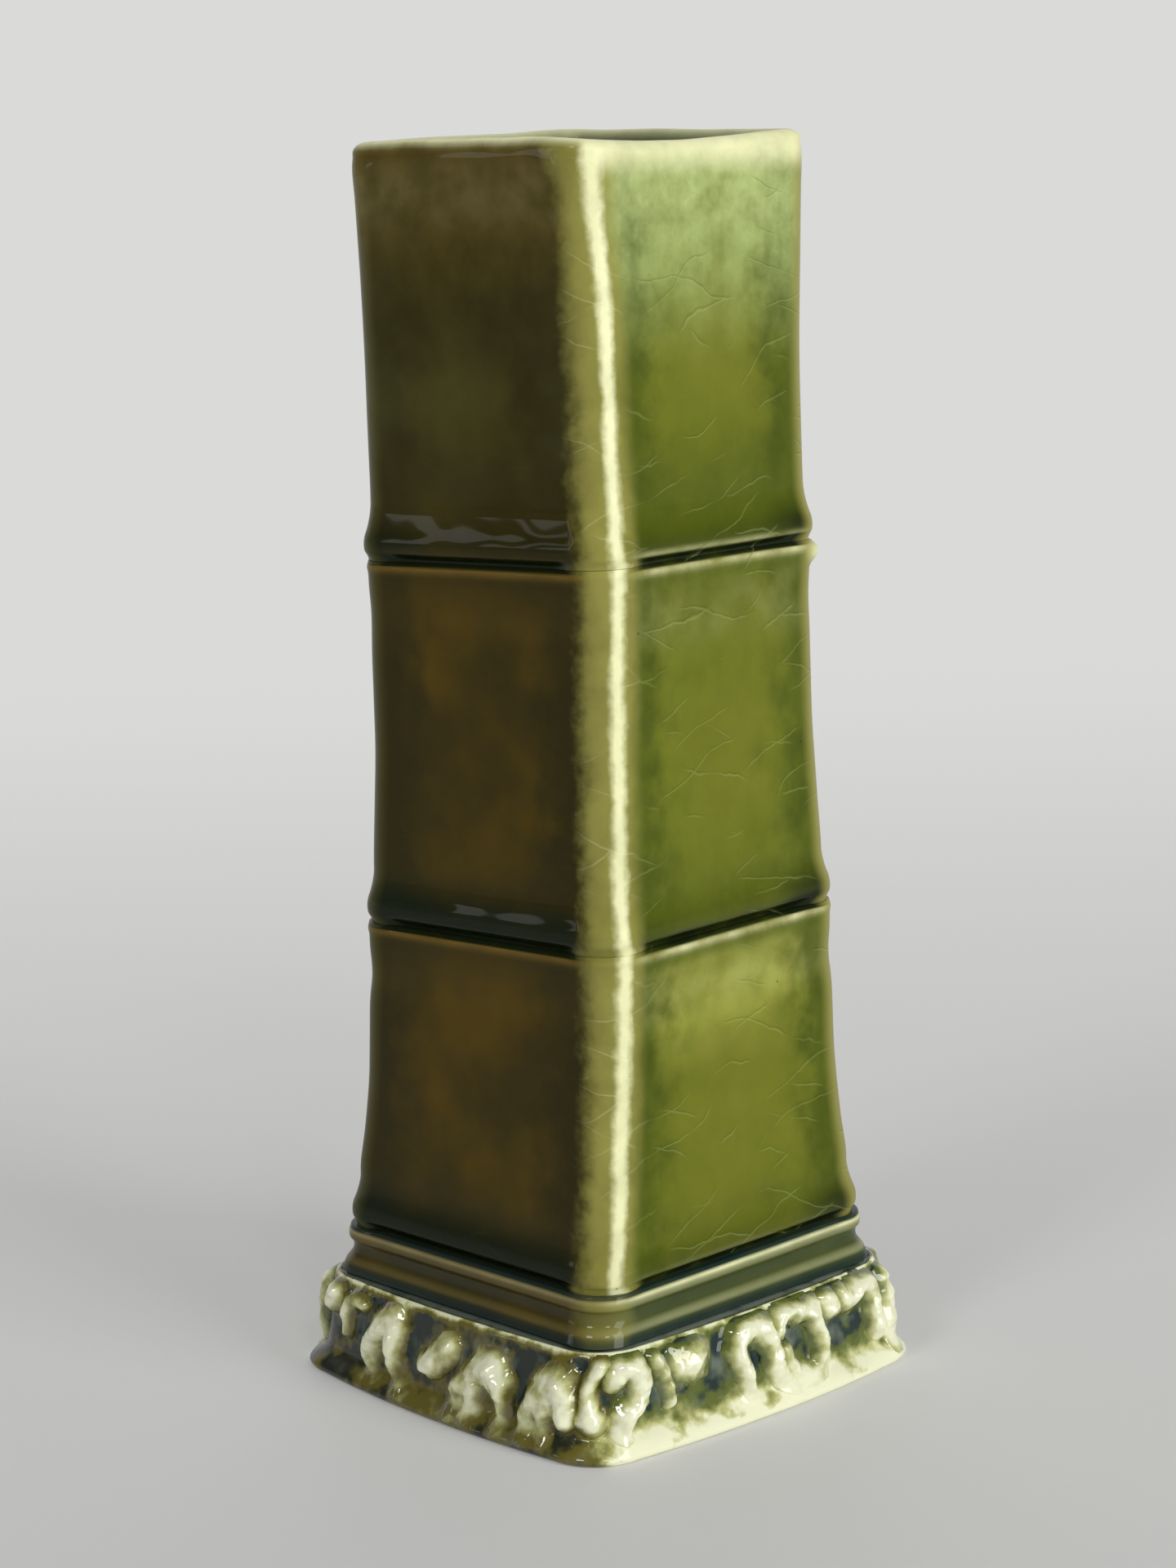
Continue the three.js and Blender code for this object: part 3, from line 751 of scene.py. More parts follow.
class Glaze:
    """Glossy glaze material that is laid on colour by colour, with its run patterns at hand."""

    def __init__(self, name, roughness, coat=1.0, coat_ior=1.5, **flow):
        self.colours = bpy.context.scene.vase_glaze
        self.material = bpy.data.materials.new(name)
        self.material.use_nodes = True
        self.tree = self.material.node_tree
        self.shader = self.tree.nodes["Principled BSDF"]
        gloss = {"Roughness": roughness, "IOR": 1.5, "Specular IOR Level": 0.03, "Coat Weight": coat,
                 "Coat Roughness": 0.03, "Coat IOR": coat_ior}
        for socket, value in gloss.items():
            self.shader.inputs[socket].default_value = value
        place = output_of(self.tree, "ShaderNodeTexCoord", output="Object")
        self.place = output_of(
            self.tree, "ShaderNodeVectorMath", (place, (MM_IN_METRE,) * 3), operation="MULTIPLY")
        self.height = parts_of(self.tree, self.place)[2]
        patterns = self.pattern("Glaze Flow", **flow)
        self.streaks = patterns["Streaks"]
        self.mottle = patterns["Mottle"]
        self.patches = patterns["Patches"]
        self.base = None

    def pattern(self, name, **inputs):
        """Outputs of a shared pattern on this glaze."""
        given = {key.replace("_", " "): value for key, value in inputs.items()}
        return group(self.tree, name, {"Place": self.place, **given})

    def attribute(self, name):
        """Mark that the mesh carries."""
        return output_of(self.tree, "ShaderNodeAttribute", output="Fac", attribute_name=name)

    def rise(self, level, low, high, start=0.0, end=1.0):
        """Smooth step between two heights, in millimetres over a level."""
        return self.height.ramp(level / MM + low, level / MM + high, start, end)

    def mix(self, share, first, second):
        """Blend of two colours, each a named colour or a blend."""
        first, second = (rgb(getattr(self.colours, tone)) if isinstance(tone, str) else tone
                         for tone in (first, second))
        return output_of(self.tree, "ShaderNodeMix", {0: share, 6: first, 7: second}, output=2,
                         data_type="RGBA", clamp_factor=True)

    def lay(self, share, tone):
        """Lay a colour over those that are there already."""
        self.base = self.mix(share, self.base, tone)

    def finish(self, bump):
        """Material with its colour and the unevenness of its surface."""
        feed(self.tree, self.base, self.shader.inputs["Base Color"])
        normal = output_of(self.tree, "ShaderNodeBump", {
            "Height": bump, "Strength": 0.5, "Distance": 0.2 * MM})
        feed(self.tree, normal, self.shader.inputs["Normal"])
        return self.material


class CulmGlaze(Glaze):
    """Run olive glaze that breaks to cream on the corners and pools in the grooves."""

    def __init__(self):
        super().__init__("vase_culm_glaze", 0.35, 0.26, Streak_Width=5.0, Patch_Size=19.0)
        self.edge = self.attribute("edge") * MM_IN_METRE
        self.seam = self.attribute("seam")
        self.toast = self.attribute("toast")
        self.ragged = noise(self.tree, self.place, 0.5, 21.0, 3.0)
        self.mouth_edge = self.rise(RIM_TOP, -32.0, -4.0)

    def lay_faces(self):
        """Green faces with olive hearts, and the toasted face with its ochre, whose colours are also darkened
        as painted shade.
        """
        framed = (self.edge + (self.mottle - 0.5) * 6.0).ramp(7.5, 19.0)
        framed = framed * (0.3 + self.attribute("heart") * 0.7)
        even = framed * 0.55 + self.streaks * 0.15 + self.mottle * 0.35 + self.ragged * 0.22
        green = self.mix(even, "deep", "culm")
        sunned = self.height.ramp(40.0, 110.0, 0.95, 0.45)
        green = self.mix((self.patches * 0.7 + 0.3) * framed * sunned, green, "olive")
        under_node = self.rise(MIDDLE_BASE, -26.0, -9.0) * self.rise(MIDDLE_BASE, -5.0, -1.8, 1.0, 0.0)
        green = self.mix(under_node * framed * (0.4 + self.mottle * 0.6), green, "sunlit")
        shade = self.rise(UPPER_BASE, 4.0, 32.0, 0.45, 0.0)
        green = self.mix(shade * self.height.op("GREATER_THAN", UPPER_BASE / MM), green, "deep")
        glow = self.rise(UPPER_BASE, -20.0, 20.0, 1.0, 0.25)
        warmth = framed * (0.2 + self.patches * 0.8) * glow + self.ragged * 0.12
        self.base = self.mix(self.toast, green, self.mix(warmth, "toasted", "ochre"))

    def lay_mouth(self):
        """Milky glaze near the mouth, partly a painted sheen, and brown on the toasted side, darkened there
        as painted shade.
        """
        uneven = 0.25 + self.streaks * 0.25 + self.mottle * 0.5 + self.ragged * 0.3
        self.lay(self.rise(RIM_TOP, -42.0, -6.0) * uneven * (1.0 - self.toast * 0.95), "milky")
        veil = self.rise(RIM_TOP, -75.0, -45.0) * self.rise(RIM_TOP, -40.0, -14.0, 1.0, 0.0)
        self.lay(veil * self.toast * (self.patches * 0.05 + self.mottle * 0.02), "milky")
        self.lay(self.mouth_edge * (0.14 + self.mottle * 0.42) * self.toast, "ember")

    def lay_nodes(self):
        """Pale lines where the glaze breaks over the lips, and dark pools over the grooves."""
        line = self.attribute("thin") + self.attribute("brim") * (1.0 - self.toast)
        pale = self.mix(self.mottle * 0.8, "thin", "bare")
        # On the toasted face the pale lines turn ember brown, partly as painted shade
        pale = self.mix(self.toast * (1.0 - self.mouth_edge), pale, "ember")
        self.lay(line * (0.6 + self.mottle * 0.4), pale)
        lee = self.edge.ramp(5.0, 20.0, 1.0, 0.0) * (1.0 - self.seam)
        heavy = self.height.ramp(MIDDLE_BASE / MM + 20.0, UPPER_BASE / MM, 0.8, 0.1)
        # Pools are deeper on the toasted face, partly as painted shade
        depth = 0.7 + lee * 0.5 + self.toast * heavy + (self.mottle - 0.5) * 0.3
        self.pools = self.attribute("pool") * depth
        parted = self.seam * self.edge.ramp(3.5, 8.0, 1.0, 0.0)
        self.lay(self.pools.ramp(0.12, 0.8) * (1.0 - parted), "pooled")

    def lay_corners(self):
        """Cream strip with its bright line down two of the corners, the line bare clay and partly a painted
        highlight, and thin glaze on the other two.
        """
        near = self.edge.ramp(9.0, 11.0, 1.0, 0.0)
        roam = noise(self.tree, self.place, 0.06, 33.0, 2.0)
        brow = self.attribute("brow") * MM_IN_METRE
        wander = brow + (self.streaks - 0.5) * 0.9 + self.ragged * 0.8 + roam * 1.3
        leaning = wander + self.rise(RIM_TOP, -34.0, -2.0, 0.0, 1.3)
        flare = self.rise(RIM_TOP, -10.0, -1.0, 0.0, 3.5)
        strip = (wander + flare + self.ragged * 1.4).ramp(-6.8, -1.6) * leaning.ramp(3.8, 8.5, 1.0, 0.0)
        self.broken = strip * near * self.seam
        self.lay(self.broken * (0.62 + self.mottle * 0.38), "thin")
        thinned = self.edge.ramp(2.6, 6.4, 0.85, 0.0) * (1.0 - self.seam)
        self.lay(thinned * (1.0 - self.toast * 0.8), "thin")
        # Bright line down the strip: bare clay and a painted highlight
        arris_highlight = abs(leaning - 2.5).ramp(0.3, 2.2, 1.0, 0.0) * near * self.seam
        self.lay(arris_highlight * (0.78 + self.mottle * 0.35), "bare")

    def lay_crackle(self):
        """Crackle with a painted highlight beside each line, faint on the toasted side and pale on the cream
        strip, and iron specks.
        """
        crackle = self.pattern("Craze Lines")
        lines = crackle["Lines"]
        specks = self.pattern("Specks")["Specks"]
        whole = 1.0 - self.broken
        self.lay(lines * 0.3 * whole * (1.0 - self.toast * 0.7), "deep")
        self.lay(crackle["Glints"] * 0.17 * whole * (1.0 - self.toast), "milky")
        self.lay(lines * self.broken * 0.16, "bare")
        self.lay(specks * 0.7, "pooled")
        self.pits = lines * 0.2 + specks * 0.2

    def lay_rim(self):
        """Bare clay along the rim and on the drip, and the dark inside."""
        worn = self.rise(RIM_TOP, -8.0, -2.5) * (1.0 - self.toast) * 0.95
        self.lay(self.attribute("crest").above(worn) * (0.7 + self.mottle * 0.4), "bare")
        self.lay(self.attribute("drip"), "bare")
        self.lay(self.attribute("inner"), "well")


def culm_glaze():
    """Glaze of the culms, from the faces to the rim."""
    glaze = CulmGlaze()
    glaze.lay_faces()
    glaze.lay_mouth()
    glaze.lay_nodes()
    glaze.lay_corners()
    glaze.lay_crackle()
    glaze.lay_rim()
    wrinkles = glaze.pools * glaze.ragged * 0.5
    return glaze.finish(glaze.mottle * 0.6 + glaze.streaks * 0.15 - glaze.pits + wrinkles)


def collar_glaze():
    """Olive glaze, dark in the hollow and pale along the mouldings."""
    glaze = Glaze("vase_collar_glaze", 0.35, 0.4, Streak_Width=2.5, Patch_Size=14.0)
    mottle = glaze.mottle
    toast = glaze.attribute("toast")
    pool = glaze.attribute("pool")
    glaze.base = glaze.mix(mottle * 0.35, "collar", "deep")
    # Toasted side: browner glaze, also darkened as painted shade
    glaze.lay(toast * 0.95, glaze.mix(0.3 + glaze.patches * 0.5, "toasted", "ochre"))
    glaze.lay(pool * (0.8 + mottle * 0.2), "recess")
    pale = glaze.mix(toast * 0.75, "bare", "ember")
    glaze.lay(glaze.attribute("thin") * (0.7 + mottle * 0.35), pale)
    edge = glaze.attribute("edge") * MM_IN_METRE
    broken = (edge + (mottle - 0.5) * 3.0).ramp(2.0, 7.0, 1.0, 0.0) * glaze.attribute("seam")
    glaze.lay(broken * (0.55 - pool * 0.4), "thin")
    return glaze.finish(mottle * 0.5)


def melted(name, roughness, coat, coat_ior):
    """Glaze run over the relief: slate in the hollows with a painted sheen of cloudy slate, moss on the
    flanks and cream where it thins, the crests also with a painted highlight; on the toasted side the foot
    and hollows are darkened as painted shade.
    """
    glaze = Glaze(name, roughness, coat, coat_ior, Streak_Width=1.8, Mottle_Size=3.4, Patch_Size=6.0)
    mottle = glaze.mottle
    patches = glaze.patches
    toast = glaze.attribute("toast")
    pool = glaze.attribute("pool")
    # Painted shade: on the toasted side the foot, the root tips and the hollows are darkened
    low = glaze.height.ramp(2.0, 10.0, 1.0, 0.0)
    blots = (mottle - 0.5) * 0.55 + (patches - 0.5) * 0.4
    broken = glaze.attribute("thin") * (0.5 + mottle * 0.8) * (0.9 - toast * low * 0.75)
    thinned = glaze.attribute("relief") * 1.05 + broken - pool * 0.2
    lift = thinned + glaze.attribute("halo") * 0.16 + low * (0.75 - toast * 0.62) + blots
    hollow = glaze.mix(toast * (patches * 0.6 + low * 0.4), "recess", "toasted")
    flank = glaze.mix(toast * 0.5, "moss", "ember")
    glaze.base = glaze.mix(lift.ramp(-0.02, 0.3), hollow, flank)
    # Cloudy slate in the channel and hollows: milky glaze, partly a painted sheen
    sheen_clouds = noise(glaze.tree, glaze.place, 0.2, 41.0).ramp(-0.4, 0.4)
    glaze.lay((pool * 0.62 + sheen_clouds * 0.6).ramp(0.35, 1.0) * (1.0 - toast * 0.3), "cloud")
    glaze.lay(lift.ramp(0.36, 0.9), "root")
    # Crests in foot cream: thin glaze and partly a painted highlight
    glaze.lay(lift.ramp(0.72, 1.14), "foot")
    return glaze.finish(mottle * 0.8)


def plinth_glaze():
    """Glaze pooled between the roots and broken along the ledge."""
    return melted("vase_plinth_glaze", 0.2, 0.6, 1.6)


def root_glaze():
    """Thin glaze on the roots and knobs, made once."""
    return bpy.data.materials.get("vase_root_glaze") or melted("vase_root_glaze", 0.2, 1.0, 1.75)


def foot_glaze():
    """Thin glaze, wiped back to cream along the bottom edge."""
    return melted("vase_foot_glaze", 0.25, 0.7, 1.6)


def well_glaze():
    """Dark glaze on the floor of the well."""
    glaze = Glaze("vase_well_glaze", 0.25)
    glaze.base = glaze.mix(glaze.mottle * 0.8, "well", "deep")
    return glaze.finish(glaze.mottle)


# Profiles and meshes


def rows_through(knots, step):
    """Rows of a profile on a smooth line through its knots."""
    rows = []
    count = len(knots)
    for index in range(count - 1):
        before, first, second, after = (
            knots[max(index - 1, 0)], knots[index], knots[index + 1], knots[min(index + 2, count - 1)])
        gap = math.hypot(second[0] - first[0], second[1] - first[1])
        steps = max(1, math.ceil(gap / step))
        for part in range(steps):
            share = part / steps
            rows.append(tuple(
                0.5 * (2 * b + (c - a) * share + (2 * a - 5 * b + 4 * c - d) * share ** 2
                       + (3 * b - a - 3 * c + d) * share ** 3)
                for a, b, c, d in zip(before, first, second, after)))
    rows.append(knots[-1])
    return rows


def row(half, height, corner, bow=0.0, **marks):
    """Row of a profile: half-width, height, corner radius, bow and its marks."""
    return (half, height, corner, bow, *(marks.get(name, 0.0) for name in ROW_MARKS))


def profile_mesh(name, rows):
    """Mesh line of a profile: half-width, bow and height, with the marks on its points."""
    halves, heights, corners, bows, *marks = zip(*rows)
    mesh = bpy.data.meshes.new(name)
    mesh.from_pydata(list(zip(halves, bows, heights)), [], [])
    for field, values in zip(("corner", *ROW_MARKS), (corners, *marks)):
        layer = mesh.attributes.new(field, "FLOAT", "POINT")
        layer.data.foreach_set("value", values)
    return mesh


def made(name, mesh, tree, values):
    """Object whose mesh a geometry tree has made, with no modifier left on it."""
    piece = bpy.data.objects.new(name, mesh)
    bpy.context.scene.collection.objects.link(piece)
    modifier = piece.modifiers.new(tree.name, "NODES")
    modifier.node_group = tree
    for socket in tree.interface.items_tree:
        if socket.in_out == "INPUT" and socket.name in values:
            modifier[socket.identifier] = values[socket.name]
    piece.update_tag()
    depsgraph = bpy.context.evaluated_depsgraph_get()
    result = bpy.data.meshes.new_from_object(
        piece.evaluated_get(depsgraph), preserve_all_data_layers=True, depsgraph=depsgraph)
    piece.modifiers.clear()
    piece.data = result
    result.name = name
    bpy.data.meshes.remove(mesh)
    if not result.polygons:
        raise RuntimeError(f"{name} came out empty")
    return piece


def seated(piece, slot, *nodes):
    """Piece carried by the vase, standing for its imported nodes."""
    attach(piece, "root")
    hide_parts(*nodes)


def add_ring(node, slot, rows, steps, values):
    """Clay member made from its profile, with so many steps along a side and round a corner."""
    side_steps, corner_steps = steps
    piece = made(f"glazed_{node}", profile_mesh(node, rows), shared("Ring Member"), {
        "Side Steps": side_steps, "Corner Steps": corner_steps, **values})
    seated(piece, slot, node)


# Pieces


# Node of a culm, its levels, its half-widths at the foot and the crown, the next culm's at the foot, how far
# it swells over its groove and how bright the line there is
Culm = namedtuple("Culm", "node base top foot crown next_foot swell brim")


def culm_rows(culm, sizes):
    """Profile of a culm's outside from its groove over the node and the waist to the crown."""
    base, top, foot, crown = culm.base, culm.top, culm.foot, culm.crown
    corner = sizes.corner
    swell = culm.swell * sizes.swell
    groove = foot - sizes.groove
    waist = (foot + crown) / 2 - sizes.waist
    return [
        row(groove, base, corner, pool=1, fill=foot + 0.9 * swell - groove),
        row(groove + 0.05 * MM, base + 0.5 * MM, corner, pool=1, fill=foot + 0.95 * swell - groove),
        row(foot + 0.1 * MM, base + 1.0 * MM, corner, pool=1, fill=0.9 * swell),
        row(foot + 0.8 * swell, base + 1.6 * MM, corner, pool=0.9 - culm.brim, brim=culm.brim,
            fill=0.2 * swell),
        row(foot + swell, base + 2.7 * MM, corner, pool=0.5),
        row(foot + 0.88 * swell, base + 4.0 * MM, corner, pool=0.5),
        row(foot + 0.45 * swell, base + 6.0 * MM, corner, pool=0.36),
        row(foot + 0.1 * swell, base + 8.6 * MM, corner, pool=0.2, heart=0.1),
        row(foot, base + 12 * MM, corner, pool=0.06, heart=0.5),
        row((foot + waist) / 2, base + (top - base) * 0.33, corner, heart=1),
        row(waist, (base + top) / 2, corner, heart=1),
        row((crown + waist) / 2, base + (top - base) * 0.72, corner, heart=1),
        row(crown - 0.05 * MM, top - 10 * MM, corner, thin=0.1, heart=0.8),
        row(crown, top - 5 * MM, corner, thin=0.06, heart=0.35, fill=0.15 * swell),
    ]


def lip_rows(half, top, corner, depth, over=0.0, line=0.8):
    """Rounded lip under a groove, with the pale line where the glaze breaks over it."""
    return [
        row(half + 0.05 * MM, top - 2.4 * MM, corner, thin=0.1, fill=over * 0.5),
        row(half + 0.12 * MM, top - 1.5 * MM, corner, thin=line, fill=over * 0.7),
        row(half + 0.05 * MM, top - 0.95 * MM, corner, thin=0.9, fill=over * 0.85),
        row(half - 0.3 * MM, top - 0.5 * MM, corner, pool=0.9, fill=over + 0.3 * MM),
        row(half - depth, top - 0.1 * MM, corner, pool=1, fill=over + depth),
        row(half - depth - 0.5 * MM, top, corner, pool=1, fill=over + depth),
    ]


def mouth_rows(half, top, corner, wall):
    """Half-round rim of the mouth."""
    radius = wall / 2
    last = 8
    crest = 3
    rows = []
    for index in range(last + 1):
        turn = math.pi * index / last
        rows.append(row(
            half - radius + radius * math.cos(turn), top - radius + radius * math.sin(turn),
            corner + (WELL_CORNER - corner) * index / last, thin=math.sin(turn) ** 2,
            inner=max(0.0, index / last - 0.5) * 2, crest=max(0.0, 1 - abs(index - crest) / 1.7)))
    return rows


class VASE_OT_add_culms(bpy.types.Operator):
    """Add the three culm sections of the vase"""

    bl_idname = "vase.add_culms"
    bl_label = "Culm Sections"

    def execute(self, context):
        sizes = context.scene.vase_sizes
        upper, middle, lower = sizes.upper_half, sizes.middle_half, sizes.lower_half
        culms = (
            Culm("upper_section", UPPER_BASE, RIM_TOP, upper, sizes.rim_half, sizes.rim_half, 1.0, 0.6),
            Culm("middle_section", MIDDLE_BASE, UPPER_BASE, middle, sizes.middle_top, upper, 1.0, 0.15),
            Culm("lower_section", LOWER_BASE, MIDDLE_BASE, lower, sizes.lower_top, middle, 1.15, 0.3),
        )
        glaze = culm_glaze()
        for culm in culms:
            values = {"Material": glaze}
            outside = culm_rows(culm, sizes)
            well_top = culm.top
            if culm.node == "upper_section":
                outside += mouth_rows(culm.crown, culm.top, sizes.corner, sizes.wall)
                well_top -= 4 * MM
            else:
                outside += lip_rows(culm.crown, culm.top, sizes.corner, sizes.groove, sizes.swell * 0.35)
            if culm.node == "middle_section":
                values["Drip"] = (culm.crown - 0.2 * sizes.corner, culm.crown - 0.45 * sizes.corner,
                                  culm.top - 2.2 * MM)
            inside = [row(culm.next_foot - sizes.wall, well_top, WELL_CORNER, inner=1),
                      row(culm.foot - sizes.wall, culm.base, WELL_CORNER, inner=1)]
            rows = rows_through(outside, 0.5 * MM) + inside
            add_ring(culm.node, "culm_glaze", rows, CULM_STEPS, values)
        return {"FINISHED"}


class VASE_OT_add_collar(bpy.types.Operator):
    """Add the moulded collar over the plinth"""

    bl_idname = "vase.add_collar"
    bl_label = "Collar"

    def execute(self, context):
        sizes = context.scene.vase_sizes
        half = sizes.collar_half
        corner = sizes.corner + 0.6 * MM
        base = COLLAR_BASE
        outside = [
            row(half + 1.1 * MM, base, corner, pool=1),
            row(half + 0.95 * MM, base + 0.6 * MM, corner, pool=1),
            row(half + 0.7 * MM, base + 1.4 * MM, corner, pool=0.6),
            row(half + 0.5 * MM, base + 2.0 * MM, corner, pool=0.1, thin=0.22),
            row(half + 0.15 * MM, base + 2.6 * MM, corner, pool=0.1, thin=0.16),
            row(half - 0.25 * MM, base + 3.3 * MM, corner, pool=0.3),
            row(half - 0.45 * MM, base + 4.1 * MM, corner, pool=0.45),
            row(half - 0.45 * MM, base + 5.0 * MM, corner, pool=0.45),
            row(half - 0.25 * MM, base + 5.7 * MM, corner, pool=0.3),
            *lip_rows(half, LOWER_BASE, corner, sizes.groove, line=0.35),
        ]
        inside = [row(sizes.lower_half - sizes.wall, LOWER_BASE, WELL_CORNER, inner=1),
                  row(half - sizes.wall, base, WELL_CORNER, inner=1)]
        rows = rows_through(outside, 0.35 * MM) + inside
        add_ring("collar", "collar_glaze", rows, CULM_STEPS, {"Material": collar_glaze()})
        return {"FINISHED"}


def band_rise(sizes):
    """Height of the root band, from the foot to the ledge."""
    return COLLAR_BASE - sizes.ledge - FOOT_TOP


def root_line(name, strokes):
    """Mesh of strokes on the unrolled band: each is a side's number and the points of a stroke."""
    sizes = bpy.context.scene.vase_sizes
    half = (sizes.band_foot + sizes.band_top) / 2
    half_side = half - sizes.plinth_corner + sizes.plinth_corner * QUARTER / 2
    rise = band_rise(sizes)
    points = []
    edges = []
    widths = []
    for side, stroke in strokes:
        knots = [(x * half_side, y * rise, width * sizes.girth * MM) for x, y, width in stroke]
        line = rows_through(knots, 0.6 * MM)
        first = len(points)
        points += [(x + side * SIDE_PITCH, y, 0.0) for x, y, _ in line]
        widths += [width for _, _, width in line]
        edges += [(index, index + 1) for index in range(first, len(points) - 1)]
    mesh = bpy.data.meshes.new(name)
    mesh.from_pydata(points, edges, [])
    layer = mesh.attributes.new("width", "FLOAT", "POINT")
    layer.data.foreach_set("value", widths)
    return mesh


def side_strokes(side):
    """Strokes of all the roots and knobs of one side."""
    name = SIDES[side]
    sprigs = (*ROOTS[name].values(), *KNOBS[name].values())
    return [(side, stroke) for strokes in sprigs for stroke in strokes]


def add_rooted_ring(node, slot, rows, glaze):
    """Clay member of the plinth, raised a little where the roots meet it."""
    sizes = bpy.context.scene.vase_sizes
    strokes = [stroke for side in range(len(SIDES)) for stroke in side_strokes(side)]
    paths = bpy.data.objects.new("root_paths", root_line("root_paths", strokes))
    bpy.context.scene.collection.objects.link(paths)
    add_ring(node, slot, rows, PLINTH_STEPS, {
        "Root Paths": paths, "Band Rise": band_rise(sizes), "Material": glaze,
        **titled(sizes, ("relief", "seat"))})
    mesh = paths.data
    bpy.data.objects.remove(paths)
    bpy.data.meshes.remove(mesh)


class VASE_OT_add_plinth(bpy.types.Operator):
    """Add the flared plinth with its ledge and dark channel"""

    bl_idname = "vase.add_plinth"
    bl_label = "Root Plinth"

    def execute(self, context):
        sizes = context.scene.vase_sizes
        corner = sizes.plinth_corner
        foot, foot_bow = sizes.band_foot, sizes.foot_bow
        ledge, bow = sizes.band_top, sizes.top_bow
        top = COLLAR_BASE - sizes.ledge
        channel = sizes.collar_half
        outside = [
            row(foot, FOOT_TOP, corner, foot_bow, band=1),
            row(foot - 0.1 * MM, FOOT_TOP + 1.0 * MM, corner, foot_bow * 0.95, band=1),
            row(foot - 0.25 * MM, FOOT_TOP + 2.4 * MM, corner, foot_bow * 0.9, band=1),
            row((foot + ledge) / 2, (FOOT_TOP + top) / 2, corner, (foot_bow + bow) / 2, pool=0.3, band=1),
            row(ledge + 0.2 * MM, top - 1.8 * MM, corner, bow, pool=0.2, band=1),
            row(ledge + 0.05 * MM, top - 0.5 * MM, corner, bow, thin=0.05, band=1),
            row(ledge - 0.1 * MM, top + 0.4 * MM, corner, bow, thin=0.6, band=0.6),
            row(ledge - 0.6 * MM, top + 1.05 * MM, corner - 0.5 * MM, bow, thin=1.3, band=0.2),
            row(ledge - 1.1 * MM, top + 0.95 * MM, corner - 1 * MM, bow, thin=0.35),
            row(channel + 1.3 * MM, top + 0.55 * MM, corner - 1.8 * MM, bow * 0.6, pool=1),
            row(channel + 0.8 * MM, top + 0.85 * MM, corner - 2.2 * MM, pool=1),
            row(channel - 1.2 * MM, top + 1.0 * MM, corner - 3 * MM, pool=1),
        ]
        bore = channel - sizes.wall
        slab = bore + 1.8 * MM
        slab_base = FOOT_TOP + 3.2 * MM
        seat = foot - 2.6 * MM
        inside = [
            row(bore, COLLAR_BASE - 0.2 * MM, WELL_CORNER, inner=1),
            row(bore, top, WELL_CORNER, inner=1),
            row(slab, FOOT_TOP + 7.7 * MM, WELL_CORNER, inner=1),
            row(slab, slab_base, WELL_CORNER, inner=1),
            row(seat, slab_base, corner - 2.4 * MM, inner=1),
            row(seat, FOOT_TOP, corner - 2.4 * MM, inner=1),
        ]
        rows = rows_through(outside, 0.36 * MM) + inside
        add_rooted_ring("root_plinth", "plinth_glaze", rows, plinth_glaze())
        return {"FINISHED"}


def add_sprigs(sprigs):
    """Roots or knobs of the four sides, wrapped on the band."""
    sizes = bpy.context.scene.vase_sizes
    values = {"Band Rise": band_rise(sizes), "Material": root_glaze(), **titled(sizes, SPRIG_SIZES)}
    for side, name in enumerate(SIDES):
        for label, strokes in sprigs[name].items():
            node = f"{name}_{label}"
            line = root_line(node, [(side, stroke) for stroke in strokes])
            piece = made(f"glazed_{node}", line, shared("Root Sprig"), {"Side": float(side), **values})
            seated(piece, "root_glaze", node)


class VASE_OT_add_roots(bpy.types.Operator):
    """Add the applied roots and stems of the four sides"""

    bl_idname = "vase.add_roots"
    bl_label = "Roots"

    def execute(self, context):
        add_sprigs(ROOTS)
        return {"FINISHED"}


class VASE_OT_add_knobs(bpy.types.Operator):
    """Add the root knobs of the four sides"""

    bl_idname = "vase.add_knobs"
    bl_label = "Knobs"

    def execute(self, context):
        add_sprigs(KNOBS)
        return {"FINISHED"}


def flare_row(sizes, share):
    """Row of the foot's flare at a share of its height."""
    height = share * FOOT_TOP
    down = min((FOOT_TOP - height) / TOE_REACH, 1.0)
    half = sizes.band_foot + (sizes.foot_half - sizes.band_foot) * down * down * (3 - 2 * down)
    return row(half, height, sizes.plinth_corner, sizes.foot_bow, thin=1.1 - share * 1.1, band=1)


def add_foot_rim(sizes):
    """Foot rim, softly flared outside and rebated for the floor inside."""
    half = sizes.foot_half
    corner = sizes.plinth_corner
    bow = sizes.foot_bow
    outside = [
        row(half - 0.9 * MM, 0.0, corner - 0.9 * MM, bow, thin=1),
        row(half - 0.25 * MM, 0.35 * MM, corner, bow, thin=1),
        row(half, 1.0 * MM, corner, bow, thin=0.9, band=0.4),
        *(flare_row(sizes, share) for share in (0.3, 0.44, 0.58, 0.72, 0.86, 1.0)),
    ]
    seat = sizes.band_foot - 2.4 * MM
    bore = seat - 2.6 * MM
    seat_height = 3 * MM
    inner_corner = corner - 2.4 * MM
    inside = [
        row(seat, FOOT_TOP, inner_corner),
        row(seat, seat_height, inner_corner),
        row(bore, seat_height, inner_corner),
        row(bore, 0.3 * MM, inner_corner, thin=1),
        row(bore + 0.4 * MM, 0.0, inner_corner, thin=1),
    ]
    add_rooted_ring("foot_rim", "foot_glaze", rows_through(outside, 0.35 * MM) + inside, foot_glaze())


def add_floor_slab():
    """Floor of the well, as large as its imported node."""
    low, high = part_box("floor_slab")
    rings = ((0.02 * MM, 0.01 * MM), (12 * MM, 6 * MM), (high.x, 7 * MM))
    rows = [row(half, high.z, corner) for half, corner in rings]
    rows += [row(half, low.z, corner) for half, corner in reversed(rings)]
    add_ring("floor_slab", "well_glaze", rows, SLAB_STEPS, {"Material": well_glaze()})


